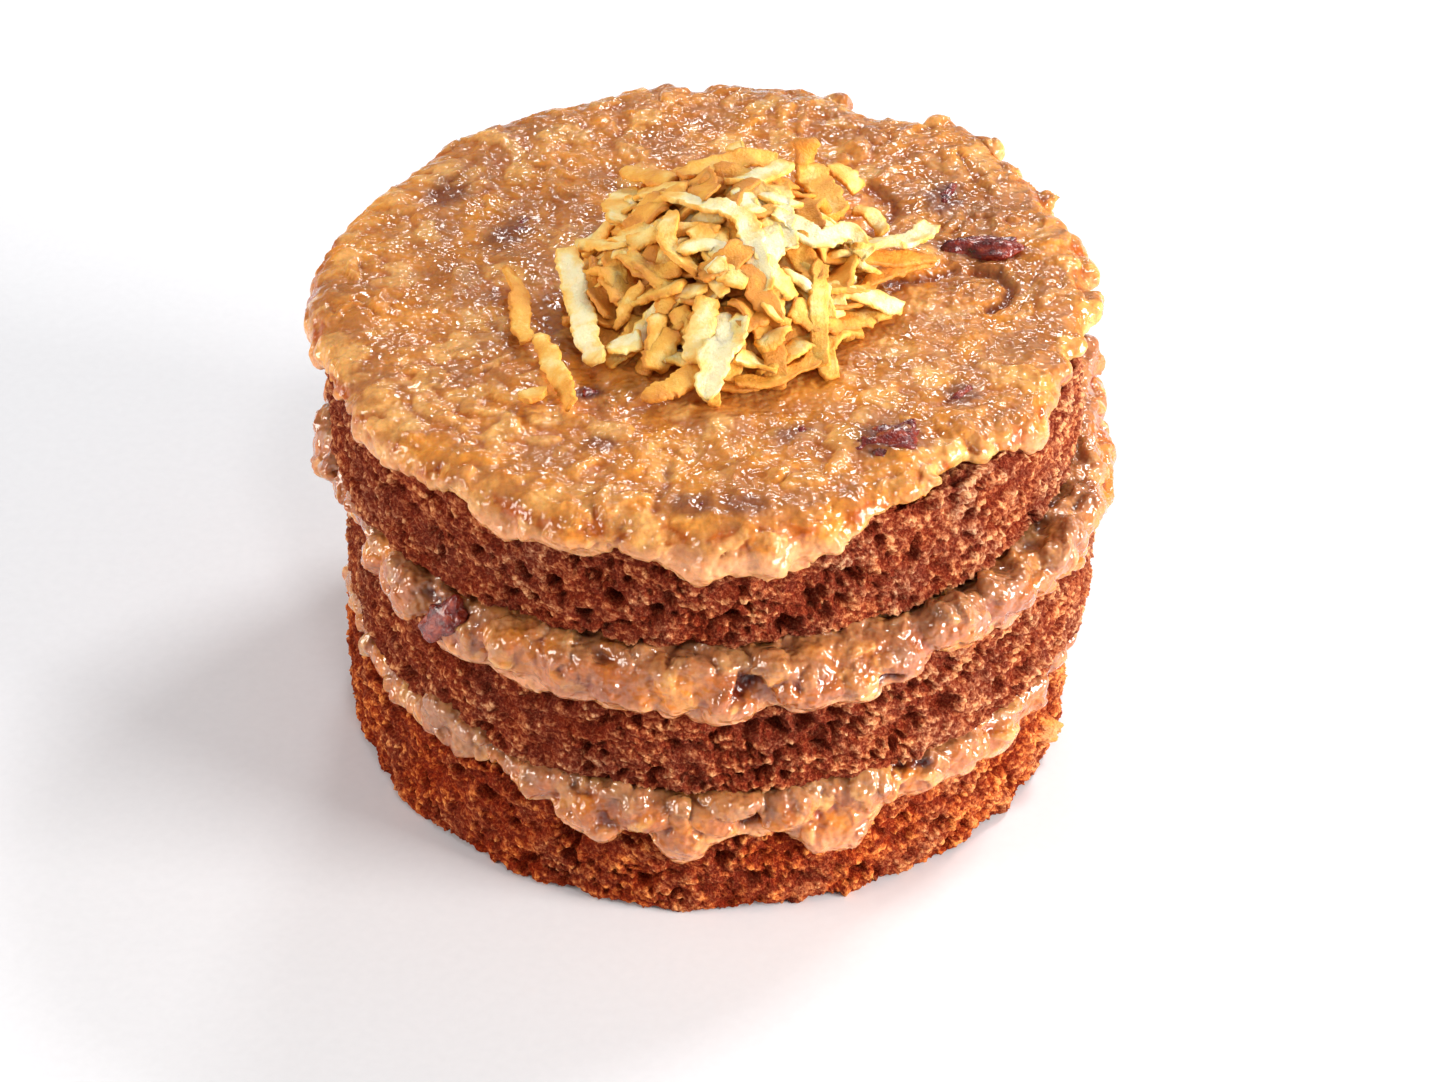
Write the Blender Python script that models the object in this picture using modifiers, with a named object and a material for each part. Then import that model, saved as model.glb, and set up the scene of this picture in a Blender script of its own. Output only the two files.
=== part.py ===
"""A small German chocolate cake: three rounds of chocolate sponge, two coconut and pecan fillings that hang
over the layers below, a frosted top with a drooping rim, and a heap of toasted coconut shreds.

Metres, +Z up. The origin is the centre of the flat base, and -Y is the front."""

import math
import random

import bmesh
import bpy
from mathutils import Euler, Matrix, Vector, noise

MM = 0.001

# Driving sizes, in millimetres
LAYERS = {  # the underside, top, radius and centre of each round of sponge
    "sponge_bottom": (0.0, 17.5, 50.6, (-0.2, 0.0)),
    "sponge_middle": (21.5, 40.5, 52.0, (1.4, 0.3)),
    "sponge_top": (46.0, 63.5, 51.4, (-0.8, 0.2)),
}
FROSTING_CREST = 66.8
GAP = 0.3
CRUMB_RELIEF = 0.9
EDGE_ROUND = 1.4
HEAP_BASE = 67.4
HEAP_CENTRE = (2.0, -2.5)
HEAP_RADIUS = 20.5
HEAP_RISE = 9.4
TILT = (0.012, -0.014)  # rise of the cake's top for each millimetre to the right and to the front

# A rim is drawn for this radius where it starts, skirts the sponge and ends, and for this hang.
# Its rule then stretches it to the width and the hang that it has at each angle.
RIM_START, RIM_SKIRT, RIM_END, RIM_HANG = 44.0, 52.0, 55.0, 10.0

# Facets
SPONGE_STEPS = 76
RIM_STEPS = 88
HEAP_STEPS = 24
STRIP_CUTS = 2
LOOSE_STRIPS = 26

# Colours of the materials
SPONGE_BROWN = (0.23, 0.075, 0.035)
FILLING_TAN = (0.56, 0.31, 0.15)
FROSTING_CARAMEL = (0.62, 0.34, 0.13)
COCONUT_GOLD = (0.86, 0.62, 0.27)


def bump(angle, centre, half_width):
    """A smooth rise to 1 at an angle, in degrees round the cake, that has died away at twice its half width."""
    apart = abs((angle - centre + 180.0) % 360.0 - 180.0) / half_width
    return math.exp(-(apart**2.4))


def along_rim(base, lobes, angle):
    """The base value and the lobes, (angle, size, half width), that a rim has at an angle."""
    return base + sum(size * bump(angle, centre, width) for centre, size, width in lobes)


def random_lobes(seed, first, last, count, largest):
    """Lobes for the stretch of rim that the front view doesn't show."""
    rng = random.Random(seed)
    spacing = (last - first) / count
    return [
        (first + spacing * (i + rng.uniform(0.2, 0.8)), largest * rng.uniform(0.3, 1.0), rng.uniform(5, 10))
        for i in range(count)
    ]


# How far each rim stands out from the sponge under it, and how far it hangs down over it, in millimetres:
# a base value, then lobes as (angle, size, half width). The front is at -90 degrees and the right at 0.
UPPER_REACH = (0.6, [(-88, 2.6, 46), (-141, 1.6, 8), (-32, 1.2, 16), (181, 2.8, 13)]
               + random_lobes(seed=5, first=5, last=160, count=7, largest=3.0))
UPPER_HANG = (1.2, [(-146, 4.4, 6), (-131, 3.4, 6), (-118, 4.4, 7), (-104, 4.0, 6), (-91, 4.6, 6), (-78, 3.8, 7),
                    (-67, 3.0, 5), (-43, 2.0, 7), (-28, 1.0, 6), (180, 3.0, 10)]
              + random_lobes(seed=4, first=5, last=160, count=8, largest=4.5))
LOWER_REACH = (-0.4, [(-88, 2.8, 44), (-124, -1.2, 4), (-35, 1.0, 14), (-13, 1.2, 12)]
               + random_lobes(seed=6, first=20, last=150, count=6, largest=3.0))
LOWER_HANG = (0.8, [(-131, 1.5, 6), (-107.5, 5.4, 5), (-94.5, 7.6, 5), (-84, 3.0, 6), (-70, 8.4, 8), (-55, 3.6, 8),
                    (-40, 4.0, 9)]
              + random_lobes(seed=9, first=20, last=150, count=8, largest=6.5))
FROSTING_REACH = (1.7, [(-84, 1.9, 12), (-114, 1.2, 7), (-126, -0.8, 4), (-160, -0.9, 8), (-61, -1.6, 5),
                        (-48, -4.8, 7), (-17, -2.6, 8), (28, 1.8, 6), (48, 3.6, 6), (63, -2.4, 5), (77, 1.2, 5),
                        (98, 1.2, 5), (109, -0.6, 5), (130, 1.2, 8), (174, 1.9, 13), (88, 1.9, 44)])
FROSTING_HANG = (1.3, [(-147, 1.6, 6), (-120, 4.4, 4), (-108, 2.8, 6), (-92, 4.2, 5), (-80, 4.6, 8), (-36, 2.2, 5),
                       (178, 2.0, 12)]
                 + random_lobes(seed=2, first=0, last=160, count=9, largest=2.6))

# Pecan pieces set in the frosting: place, length, width, heading in degrees
PECANS = [
    (22.9, -34.3, 10.0, 4.6, 8),
    (37.4, 9.7, 9.5, 4.2, -8),
    (32.8, -24.1, 6.5, 5.0, 50),
    (-36.1, 25.0, 6.5, 5.0, 70),
    (-27.4, 15.0, 8.5, 4.0, 55),
    (32.4, 22.5, 7.0, 4.0, 75),
]

# Coconut shreds that shape the heap: two ends as (x, y, height above the frosting), then width and bow
HERO_STRIPS = [
    ((-19.2, 2.4, 3.6), (-14.8, -19.1, 1.4), 3.4, 0.6),
    ((-27.0, 3.2, 1.0), (-24.0, -14.2, 1.0), 2.8, 1.0),
    ((-23.6, -12.6, 1.2), (-18.4, -28.1, 1.0), 2.8, 1.0),
    ((-23.6, -27.2, 1.2), (-18.6, -25.4, 1.4), 4.0, 0.2),
    ((-25.6, -6.5, 1.2), (-10.5, -3.6, 3.6), 2.8, 0.6),
    ((-18.6, 0.6, 5.2), (-1.0, 1.6, 9.4), 3.0, 0.8),
    ((-8.0, 5.2, 9.8), (7.2, 1.4, 10.8), 3.6, 0.8),
    ((8.5, 1.2, 9.4), (19.0, -0.6, 7.4), 3.4, 1.2),
    ((17.8, -0.9, 7.4), (29.6, 6.6, 3.8), 3.2, -1.0),
    ((14.0, -1.6, 5.6), (30.4, 3.6, 2.2), 3.0, 1.0),
    ((12.6, -7.8, 6.2), (25.6, -6.0, 1.4), 2.8, 0.8),
    ((10.6, 18.4, 12.0), (15.4, 8.8, 6.6), 3.2, 0.0),
    ((1.0, 17.8, 9.6), (6.0, 16.0, 9.0), 4.6, 0.0),
    ((-6.5, 12.4, 8.2), (10.5, 12.4, 9.4), 3.4, 1.2),
    ((-13.4, 20.6, 2.0), (-3.4, 14.0, 6.6), 3.6, 0.4),
    ((-8.6, -27.0, 1.0), (-0.4, -20.6, 3.2), 4.2, 0.6),
    ((1.6, -18.4, 6.0), (-0.8, -27.8, 1.2), 4.4, 0.4),
    ((3.0, -20.4, 4.0), (9.6, -22.6, 1.8), 3.6, 0.2),
    ((3.4, -24.4, 1.0), (13.4, -19.4, 1.6), 2.6, 0.4),
    ((12.8, -20.4, 1.4), (15.6, -6.6, 5.6), 2.6, 0.8),
]
STRIP_THICKNESS = 1.1
LOOSE_LENGTHS = (9.0, 17.0)
LOOSE_WIDTHS = (2.6, 4.2)


def clear_scene():
    for obj in list(bpy.data.objects):
        bpy.data.objects.remove(obj, do_unlink=True)


def material(name, colour, roughness):
    made = bpy.data.materials.new(name)
    made.use_nodes = True
    shader = made.node_tree.nodes["Principled BSDF"]
    shader.inputs["Base Color"].default_value = (*colour, 1.0)
    shader.inputs["Roughness"].default_value = roughness
    shader.inputs["Metallic"].default_value = 0.0
    return made


def polar(point):
    """Radius and angle, in millimetres and degrees, of a vertex in metres."""
    return math.hypot(point.x, point.y) / MM, math.degrees(math.atan2(point.y, point.x))


def at_polar(radius, angle, height):
    turn = math.radians(angle)
    return Vector((radius * math.cos(turn), radius * math.sin(turn), height)) * MM


def clamp(value):
    return min(1.0, max(0.0, value))


def lumps(point, size, seed):
    """Smooth noise from about -1 to 1, with lumps of a size in millimetres."""
    return noise.noise(point / (size * MM) + Vector((seed * 7.3, seed * 3.1, seed * 5.7)))


def tilt_at(point):
    return (TILT[0] * point.x + TILT[1] * point.y) / MM


def sponge_edge(name, angle):
    """Radius of a round of sponge at an angle, from its own centre and without its crumbs."""
    underside, _, radius, _ = LAYERS[name]
    return radius + 0.5 * lumps(at_polar(radius, angle, underside), 24, 3)


def placed(name, radius, angle, height):
    """A point at polar coordinates about the centre of a round of sponge."""
    return at_polar(radius, angle, height) + Vector((*LAYERS[name][3], 0)) * MM


def link(obj, collection, finish):
    collection.objects.link(obj)
    obj.data.materials.append(finish)


def turned(name, profile, steps, rule, collection, finish):
    """Turns a profile, (radius, height) in millimetres from top to bottom, about Z and moves each vertex by rule."""
    line = bpy.data.meshes.new(name + "_profile")
    line.from_pydata([(r * MM, 0, z * MM) for r, z in profile], [(i, i + 1) for i in range(len(profile) - 1)], [])
    guide = bpy.data.objects.new(name + "_profile", line)
    collection.objects.link(guide)
    screw = guide.modifiers.new("turn", "SCREW")
    screw.steps = steps
    screw.render_steps = steps
    screw.use_merge_vertices = True
    screw.merge_threshold = 0.01 * MM
    mesh = bpy.data.meshes.new_from_object(guide.evaluated_get(bpy.context.evaluated_depsgraph_get()))
    bpy.data.objects.remove(guide, do_unlink=True)
    for vertex in mesh.vertices:
        radius, angle = polar(vertex.co)
        vertex.co = rule(radius, angle, vertex.co.z / MM)
    mesh.name = name
    mesh.shade_smooth()
    mesh.set_sharp_from_angle(angle=math.radians(40))
    obj = bpy.data.objects.new(name, mesh)
    link(obj, collection, finish)
    return obj


def sponge(name, seed, collection, finish):
    """A round of sponge: a flat top and base, soft edges and a crumbly side."""
    low, high, full, _ = LAYERS[name]
    side = [high - EDGE_ROUND - (high - low - 2 * EDGE_ROUND) * i / 5 for i in range(6)]
    profile = [(0, high), (full - EDGE_ROUND, high)]
    profile += [(full, z) for z in side]
    profile += [(full - EDGE_ROUND, low), (0, low)]

    def rule(radius, angle, height):
        share = clamp(radius - full + EDGE_ROUND + 0.5)
        place = at_polar(radius, angle, height)
        crumbs = CRUMB_RELIEF * clamp(0.35 + 1.1 * lumps(place, 4.2, seed + 1))
        moved = placed(name, radius + share * (sponge_edge(name, angle) - full - crumbs), angle, height)
        if name == "sponge_top":
            moved.z += tilt_at(moved) * MM * (height - low) / (high - low)
        return moved

    return turned(name, profile, SPONGE_STEPS, rule, collection, finish)


def rim_rule(under, seat, reach, hang, seed, finish_height):
    """The rule for a layer with a lumpy rim. Where the rim stands out it hangs; where it draws back it just lies."""

    def rule(radius, angle, height):
        edge = sponge_edge(under, angle)
        width = along_rim(*reach, angle)
        drop = along_rim(*hang, angle) * clamp(width - 0.7)
        share = clamp((radius - RIM_START) / (RIM_END - RIM_START))
        out = clamp((radius - RIM_SKIRT) / (RIM_END - RIM_SKIRT))
        below = height < seat - 0.001 or (abs(radius - RIM_SKIRT) < 0.01 and abs(height - seat) < 0.001)
        if share > 0:
            radius = RIM_START + share * (edge + width - RIM_START)
        if below and width > GAP + 0.05:
            radius = edge + GAP + out * (width - GAP)
        if height < seat:
            height = seat - (seat - height) / RIM_HANG * drop
        place = placed(under, radius, angle, height)
        lively = out * clamp(width)
        radius += lively * (0.9 * lumps(place, 6.5, seed) + 0.6 * lumps(place, 3.2, seed + 1))
        return finish_height(placed(under, radius, angle, height), place, out, height)

    return rule


def filling(name, under, over, reach, hang, seed, collection, finish):
    """A filling: a slab between two rounds and a lumpy roll round them, with lobes that hang over the lower one."""
    seat = LAYERS[under][1] + GAP
    top = LAYERS[over][0] - GAP
    middle = (seat + top) / 2
    profile = [
        (0, top),
        (RIM_START, top),
        (RIM_SKIRT, top),
        (53.7, top - 0.3),
        (54.7, top - 1.5),
        (RIM_END, middle - 0.4),
        (54.9, seat - 0.3 * RIM_HANG),
        (54.3, seat - 0.75 * RIM_HANG),
        (53.3, seat - RIM_HANG),
        (RIM_SKIRT, seat - 0.85 * RIM_HANG),
        (RIM_SKIRT, seat),
        (RIM_START, seat),
        (0, seat),
    ]

    def finish_height(moved, place, out, height):
        if out > 0.8:
            moved.z += 0.5 * lumps(place, 6.0, seed + 2) * MM
        return moved

    rule = rim_rule(under, seat, reach, hang, seed, finish_height)
    return turned(name, profile, RIM_STEPS, rule, collection, finish)


def frosting_relief(point):
    """Height of the coconut lumps and spatula marks on the frosted top, in millimetres, flat under the heap."""
    radius, _ = polar(point)
    share = clamp((radius - 26.0) / 6.0)
    flat = Vector((point.x, point.y, 0))
    return share * (0.45 * lumps(flat, 9.0, 21) + 0.35 * lumps(flat, 4.5, 22))


def frosted_top(collection, finish):
    """The top frosting: a spread layer with a low relief, whose rim droops over the sponge in uneven lobes."""
    seat = LAYERS["sponge_top"][1] + GAP
    profile = [(r, FROSTING_CREST) for r in (0, 9, 18, 26, 33, 39, RIM_START)]
    profile += [
        (48.0, FROSTING_CREST - 0.1),
        (51.0, FROSTING_CREST - 0.5),
        (53.6, FROSTING_CREST - 1.4),
        (54.7, seat + 0.2),
        (RIM_END, seat - 0.5 * RIM_HANG),
        (54.0, seat - RIM_HANG),
        (RIM_SKIRT, seat - 0.8 * RIM_HANG),
        (RIM_SKIRT, seat),
        (RIM_START, seat),
        (0, seat),
    ]

    def finish_height(moved, place, out, height):
        if height > seat + 0.5:
            moved.z += (frosting_relief(place) - 0.2 * out) * MM
        moved.z += tilt_at(moved) * MM
        return moved

    rule = rim_rule("sponge_top", seat, FROSTING_REACH, FROSTING_HANG, 31, finish_height)
    return turned("frosting_top", profile, RIM_STEPS, rule, collection, finish)


def pecan(index, place, finish):
    """One broken piece of pecan, sunk in the frosting so that its back stands a little proud."""
    x, y, length, width, heading = place
    mesh = bpy.data.meshes.new(f"pecan_{index}")
    shape = bmesh.new()
    bmesh.ops.create_icosphere(shape, subdivisions=1, radius=0.5 * MM)
    for vertex in shape.verts:
        vertex.co *= 1.0 + 0.25 * lumps(vertex.co, 0.6, 50 + index)
    size = Matrix.Diagonal((length, width, 3.4, 1.0))
    shape.transform(Matrix.Rotation(math.radians(heading), 4, "Z") @ size)
    shape.to_mesh(mesh)
    shape.free()
    piece = bpy.data.objects.new(mesh.name, mesh)
    ground = Vector((x, y, 0)) * MM
    piece.location = (ground.x, ground.y, (FROSTING_CREST + frosting_relief(ground) + tilt_at(ground) - 0.5) * MM)
    mesh.materials.append(finish)
    return piece


def strip(index, start, end, width, bow, twist):
    """A coconut shred: a thin bar between two points, bowed along its length and twisted a little."""
    start = Vector(start)
    end = Vector(end)
    along = end - start
    mesh = bpy.data.meshes.new(f"shred_{index}")
    shape = bmesh.new()
    bmesh.ops.create_cube(shape, size=1.0)
    long_edges = [e for e in shape.edges if abs(e.verts[0].co.x - e.verts[1].co.x) > 0.5]
    bmesh.ops.subdivide_edges(shape, edges=long_edges, cuts=STRIP_CUTS, use_grid_fill=True)
    for vertex in shape.verts:
        share = 2.0 * vertex.co.x
        turn = Matrix.Rotation(twist * share, 3, "X")
        side = turn @ Vector((0, vertex.co.y * width, vertex.co.z * STRIP_THICKNESS))
        side.z += bow * (1.0 - share * share)
        side.y += 0.5 * bow * math.sin(3.0 * share)
        vertex.co = Vector((vertex.co.x * along.length, side.y, side.z)) * MM
    bmesh.ops.triangulate(shape, faces=shape.faces)
    shape.to_mesh(mesh)
    shape.free()
    piece = bpy.data.objects.new(mesh.name, mesh)
    level = math.hypot(along.x, along.y)
    piece.rotation_euler = Euler((0, -math.atan2(along.z, level), math.atan2(along.y, along.x)))
    piece.location = (start + end) / 2 * MM
    return piece


def heap_height(x, y):
    """Height of the heap's core above the frosting, in millimetres. It is highest behind its centre."""
    apart = math.hypot(x - HEAP_CENTRE[0], y - HEAP_CENTRE[1]) / HEAP_RADIUS
    lean = 1.0 + 0.25 * (y - HEAP_CENTRE[1]) / HEAP_RADIUS
    return HEAP_RISE * lean * max(0.0, 1.0 - apart**2.2)


def on_frosting(x, y, height):
    """A point at a height above the heap's base, which follows the tilt of the top."""
    return (x, y, HEAP_BASE + height + tilt_at(Vector((x, y, 0)) * MM))


def loose_strips(rng):
    """Shreds laid over the core at random, each along the slope that it lies on."""
    made = []
    for i in range(LOOSE_STRIPS):
        out = HEAP_RADIUS * 0.92 * math.sqrt((i + 0.5) / LOOSE_STRIPS)
        turn = i * math.radians(137.5) + rng.uniform(-0.3, 0.3)
        x = HEAP_CENTRE[0] + out * math.cos(turn)
        y = HEAP_CENTRE[1] + out * math.sin(turn)
        half = rng.uniform(*LOOSE_LENGTHS) / 2
        heading = rng.uniform(0, math.pi)
        dx = half * math.cos(heading)
        dy = half * math.sin(heading)
        lift = 0.9 + rng.uniform(0.0, 1.0)
        ends = []
        for sign in (-1, 1):
            near = heap_height(x + sign * dx, y + sign * dy)
            height = max(0.8, 0.45 * heap_height(x, y) + 0.55 * near) + lift * (0.8 if near > 0 else 0.3)
            ends.append(on_frosting(x + sign * dx, y + sign * dy, height))
        made.append((*ends, rng.uniform(*LOOSE_WIDTHS), rng.uniform(0.2, 1.2), rng.uniform(-0.5, 0.5)))
    return made


def largest_island(mesh):
    """Drops every loose scrap of a mesh but its largest piece."""
    shape = bmesh.new()
    shape.from_mesh(mesh)
    left = set(shape.verts)
    islands = []
    while left:
        stack = [left.pop()]
        island = set(stack)
        while stack:
            for edge in stack.pop().link_edges:
                for vertex in edge.verts:
                    if vertex not in island:
                        island.add(vertex)
                        stack.append(vertex)
        left -= island
        islands.append(island)
    islands.sort(key=len)
    scraps = [vertex for island in islands[:-1] for vertex in island]
    bmesh.ops.delete(shape, geom=scraps, context="VERTS")
    shape.to_mesh(mesh)
    shape.free()


def fuse(body, pieces, collection):
    """Joins pieces to a body with one Boolean union, then removes them."""
    group = bpy.data.collections.new(body.name + "_pieces")
    bpy.context.scene.collection.children.link(group)
    for piece in pieces:
        group.objects.link(piece)
    union = body.modifiers.new("union", "BOOLEAN")
    union.operation = "UNION"
    union.operand_type = "COLLECTION"
    union.collection = group
    union.solver = "MANIFOLD"
    bpy.context.view_layer.update()
    mesh = bpy.data.meshes.new_from_object(body.evaluated_get(bpy.context.evaluated_depsgraph_get()))
    body.modifiers.clear()
    for piece in pieces:
        bpy.data.objects.remove(piece, do_unlink=True)
    bpy.data.collections.remove(group)
    largest_island(mesh)
    mesh.name = body.name
    body.data = mesh
    return body


def coconut_heap(collection, finish):
    """The heap: a low lumpy core with the shreds that show fused on."""
    rings = (0.0, 0.3, 0.5, 0.7, 0.85, 1.0)
    profile = [(HEAP_RADIUS * share, HEAP_BASE + 2.0) for share in rings]
    profile += [(HEAP_RADIUS, HEAP_BASE), (0, HEAP_BASE)]

    def rule(radius, angle, height):
        moved = at_polar(radius, angle, height) + Vector((*HEAP_CENTRE, 0)) * MM
        if height > HEAP_BASE + 1.0:
            rise = heap_height(moved.x / MM, moved.y / MM) + 0.9 * lumps(moved, 6.0, 41)
            moved.z = (HEAP_BASE + max(0.7, rise)) * MM
        moved.z += tilt_at(moved) * MM
        return moved

    core = turned("coconut_heap", profile, HEAP_STEPS, rule, collection, finish)
    rng = random.Random(12)
    strips = []
    for start, end, width, bow in HERO_STRIPS:
        strips.append((on_frosting(*start), on_frosting(*end), width, bow, rng.uniform(-0.3, 0.3)))
    strips += loose_strips(rng)
    return fuse(core, [strip(i, *ends) for i, ends in enumerate(strips)], collection)


def main():
    clear_scene()
    cake = bpy.data.collections.new("german_chocolate_cake")
    bpy.context.scene.collection.children.link(cake)
    brown = material("sponge", SPONGE_BROWN, 0.85)
    tan = material("filling", FILLING_TAN, 0.35)
    caramel = material("frosting", FROSTING_CARAMEL, 0.3)
    gold = material("toasted_coconut", COCONUT_GOLD, 0.6)
    for seed, name in enumerate(LAYERS):
        sponge(name, seed * 5, cake, brown)
    filling("filling_lower", "sponge_bottom", "sponge_middle", LOWER_REACH, LOWER_HANG, 61, cake, tan)
    filling("filling_upper", "sponge_middle", "sponge_top", UPPER_REACH, UPPER_HANG, 71, cake, tan)
    top = frosted_top(cake, caramel)
    fuse(top, [pecan(i, place, caramel) for i, place in enumerate(PECANS)], cake)
    coconut_heap(cake, gold)


main()
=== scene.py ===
"""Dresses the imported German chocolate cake: crumbly sponge, glossy coconut and pecan filling, a frosted top
and a heap of toasted coconut shreds, on a plain pale floor in soft studio light.

Shapes are worked out in millimetres and become metres when a mesh is made. Angles are in degrees round the
cake, with the front at -90 and the right at 0."""

import math
import random

import bmesh
import bpy
import numpy as np
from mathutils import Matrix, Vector, noise


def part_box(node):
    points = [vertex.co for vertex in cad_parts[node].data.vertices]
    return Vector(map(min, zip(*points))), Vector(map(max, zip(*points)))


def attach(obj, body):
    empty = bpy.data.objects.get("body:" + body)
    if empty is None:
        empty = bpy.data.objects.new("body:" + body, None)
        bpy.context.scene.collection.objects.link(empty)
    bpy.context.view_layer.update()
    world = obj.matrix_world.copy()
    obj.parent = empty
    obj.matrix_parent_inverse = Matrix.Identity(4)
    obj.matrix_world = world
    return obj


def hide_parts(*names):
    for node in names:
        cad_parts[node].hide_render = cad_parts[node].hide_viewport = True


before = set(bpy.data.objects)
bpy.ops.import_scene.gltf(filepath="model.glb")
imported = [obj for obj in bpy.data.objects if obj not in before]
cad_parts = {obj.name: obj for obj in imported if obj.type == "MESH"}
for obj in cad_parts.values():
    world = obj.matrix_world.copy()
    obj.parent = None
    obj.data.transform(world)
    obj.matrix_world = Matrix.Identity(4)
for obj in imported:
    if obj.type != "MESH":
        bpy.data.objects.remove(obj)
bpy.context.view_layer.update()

MM = 0.001

# Camera: where it looks, how far off and how high it stands, in millimetres and degrees, and its lens
LOOK_AT = (1.335, -7.704, 30.33)
CAMERA_DISTANCE = 700.0
CAMERA_ELEVATION = 37.93
LENS = 127.0

# The sponges' radii and centres are the CAD model's own. Their lower and upper levels come from the frame,
# but the top one's upper side is tilted, so it has a thickness of its own.
SPONGE_RADII = {"sponge_bottom": 50.6, "sponge_middle": 52.0, "sponge_top": 51.4}
SPONGE_CENTRES = {"sponge_bottom": (-0.2, 0.0), "sponge_middle": (1.4, 0.3), "sponge_top": (-0.8, 0.2)}
SPONGE_LEVELS = {node: [corner[2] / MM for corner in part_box(node)] for node in SPONGE_RADII}
TOP_THICKNESS = 17.5
EDGE_ROUND = 1.4
# The angle where the crumb is painted palest: painted light, as from the strong lamp on the right
LIT_SIDE = -22.0
# Between a spread and its sponge
GAP = 0.3
# The rims' nominal profiles: where the rim starts, its inner side, its outer reach and its hang
RIM_START, RIM_SKIRT, RIM_END, RIM_HANG = 44.0, 52.0, 55.0, 10.0
RIM_STEPS = 480
# How far the lumps stand out of a filling, and the radius within which a spread can't be seen between sponges
LUMP_STAND = 0.7
HIDDEN_RADIUS = 46.0
# The frosting's top at its middle, and its rise for each millimetre to the right and to the back
FROSTING_CREST = 66.8
TILT = (0.012, -0.014)
HEAP_CENTRE = np.array((2.0, 0.5))
HEAP_RADII = np.array((20.5, 24.0))
HEAP_RISE = 11.0

# How fine the meshes are, in millimetres
SPONGE_GRID = 0.34
FILLING_VOXEL = 0.42
FROSTING_VOXEL = 0.44

# How many random things lie in each piece
FILLING_BLOBS, FILLING_FLAKES = 90, 520
FROSTING_BLOBS, FROSTING_FLAKES, FROSTING_CHUNKS = 50, 1000, 70
LOOSE_SHREDS, MOST_TRIES = 165, 3500
FROSTING_SEED, HEAP_SEED = 31, 77


def repeatable(cells, seed):
    """A random number from 0 to 1 for each whole-number cell, always the same."""
    x, y, z = (cells[..., i].astype(np.int64) for i in range(3))
    mixed = (x * 374761393 + y * 668265263 + z * 1440662683 + seed * 1274126177) & 0xFFFFFFFF
    mixed = ((mixed ^ (mixed >> 13)) * 1274126177) & 0xFFFFFFFF
    return (mixed ^ (mixed >> 16)) / 4294967296.0


def three_random(cells, seed):
    return np.stack([repeatable(cells, 3 * seed + i) for i in range(3)], axis=-1)


def lumps(points, size, seed):
    """Smooth noise from about -1 to 1, with lumps of a size in millimetres."""
    scaled = points / size
    cell = np.floor(scaled)
    inside = scaled - cell
    ease = inside**3 * (inside * (inside * 6 - 15) + 10)
    total = np.zeros(len(points))
    for corner in np.ndindex(2, 2, 2):
        weight = np.prod(np.where(corner, ease, 1 - ease), axis=-1)
        slope = 2 * three_random(cell + corner, seed) - 1
        total += weight * ((inside - corner) * slope).sum(-1)
    return 1.6 * total


def three_lumps(points, size, seed):
    return np.stack([lumps(points, size, seed + axis) for axis in range(3)], axis=-1)


def grains(points, size, seed):
    """Grains at random, one to a cell: the distance to the nearest, as a share of size, and its own shade."""
    scaled = points / size
    cell = np.floor(scaled)
    nearest = np.full(len(points), 9.0)
    shade = np.zeros(len(points))
    for step in np.ndindex(3, 3, 3):
        there = cell + np.array(step) - 1
        apart = ((there + three_random(there, seed) - scaled) ** 2).sum(-1)
        closer = apart < nearest
        shade = np.where(closer, repeatable(there, seed + 500), shade)
        nearest = np.where(closer, apart, nearest)
    return np.sqrt(nearest), shade


def smoothstep(low, high, value):
    share = np.clip((value - low) / (high - low), 0, 1)
    return share * share * (3 - 2 * share)


def round_the_cake(radius, angle, height):
    turn = np.radians(angle)
    return np.stack(np.broadcast_arrays(radius * np.cos(turn), radius * np.sin(turn), height), axis=-1)


def tilt_at(x, y):
    """Rise of the cake's top, in millimetres, at a place on it."""
    return TILT[0] * x + TILT[1] * y


def underside(node):
    return SPONGE_LEVELS[node][0]


def sponge_top_of(node):
    return underside(node) + TOP_THICKNESS if node == "sponge_top" else SPONGE_LEVELS[node][1]


def sponge_edge(node, angle):
    """Radius of a round of sponge at an angle, from its own centre and without its crumbs."""
    radius = SPONGE_RADII[node]
    place = Vector(round_the_cake(radius, angle, underside(node)))
    return radius + 0.5 * noise.noise(place / 24 + Vector((21.9, 9.3, 17.1)))


# Meshes from arrays
def make_piece(name, points, faces, material, look=None):
    """A mesh object in metres from points in millimetres, with the colours that its material reads."""
    mesh = bpy.data.meshes.new(name)
    mesh.from_pydata((points * MM).tolist(), [], faces)
    if look is not None:
        attribute = mesh.color_attributes.new("look", "FLOAT_COLOR", "POINT")
        attribute.data.foreach_set("color", np.clip(look, 0, 1).astype(np.float32).ravel())
    mesh.shade_smooth()
    mesh.materials.append(material)
    piece = bpy.data.objects.new(name, mesh)
    bpy.context.scene.collection.objects.link(piece)
    return piece


def joined(parts):
    """One (points, faces) from several."""
    points = []
    faces = []
    start = 0
    for part_points, part_faces in parts:
        points.append(part_points)
        faces += [[start + corner for corner in face] for face in part_faces]
        start += len(part_points)
    return np.concatenate(points), faces


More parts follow.
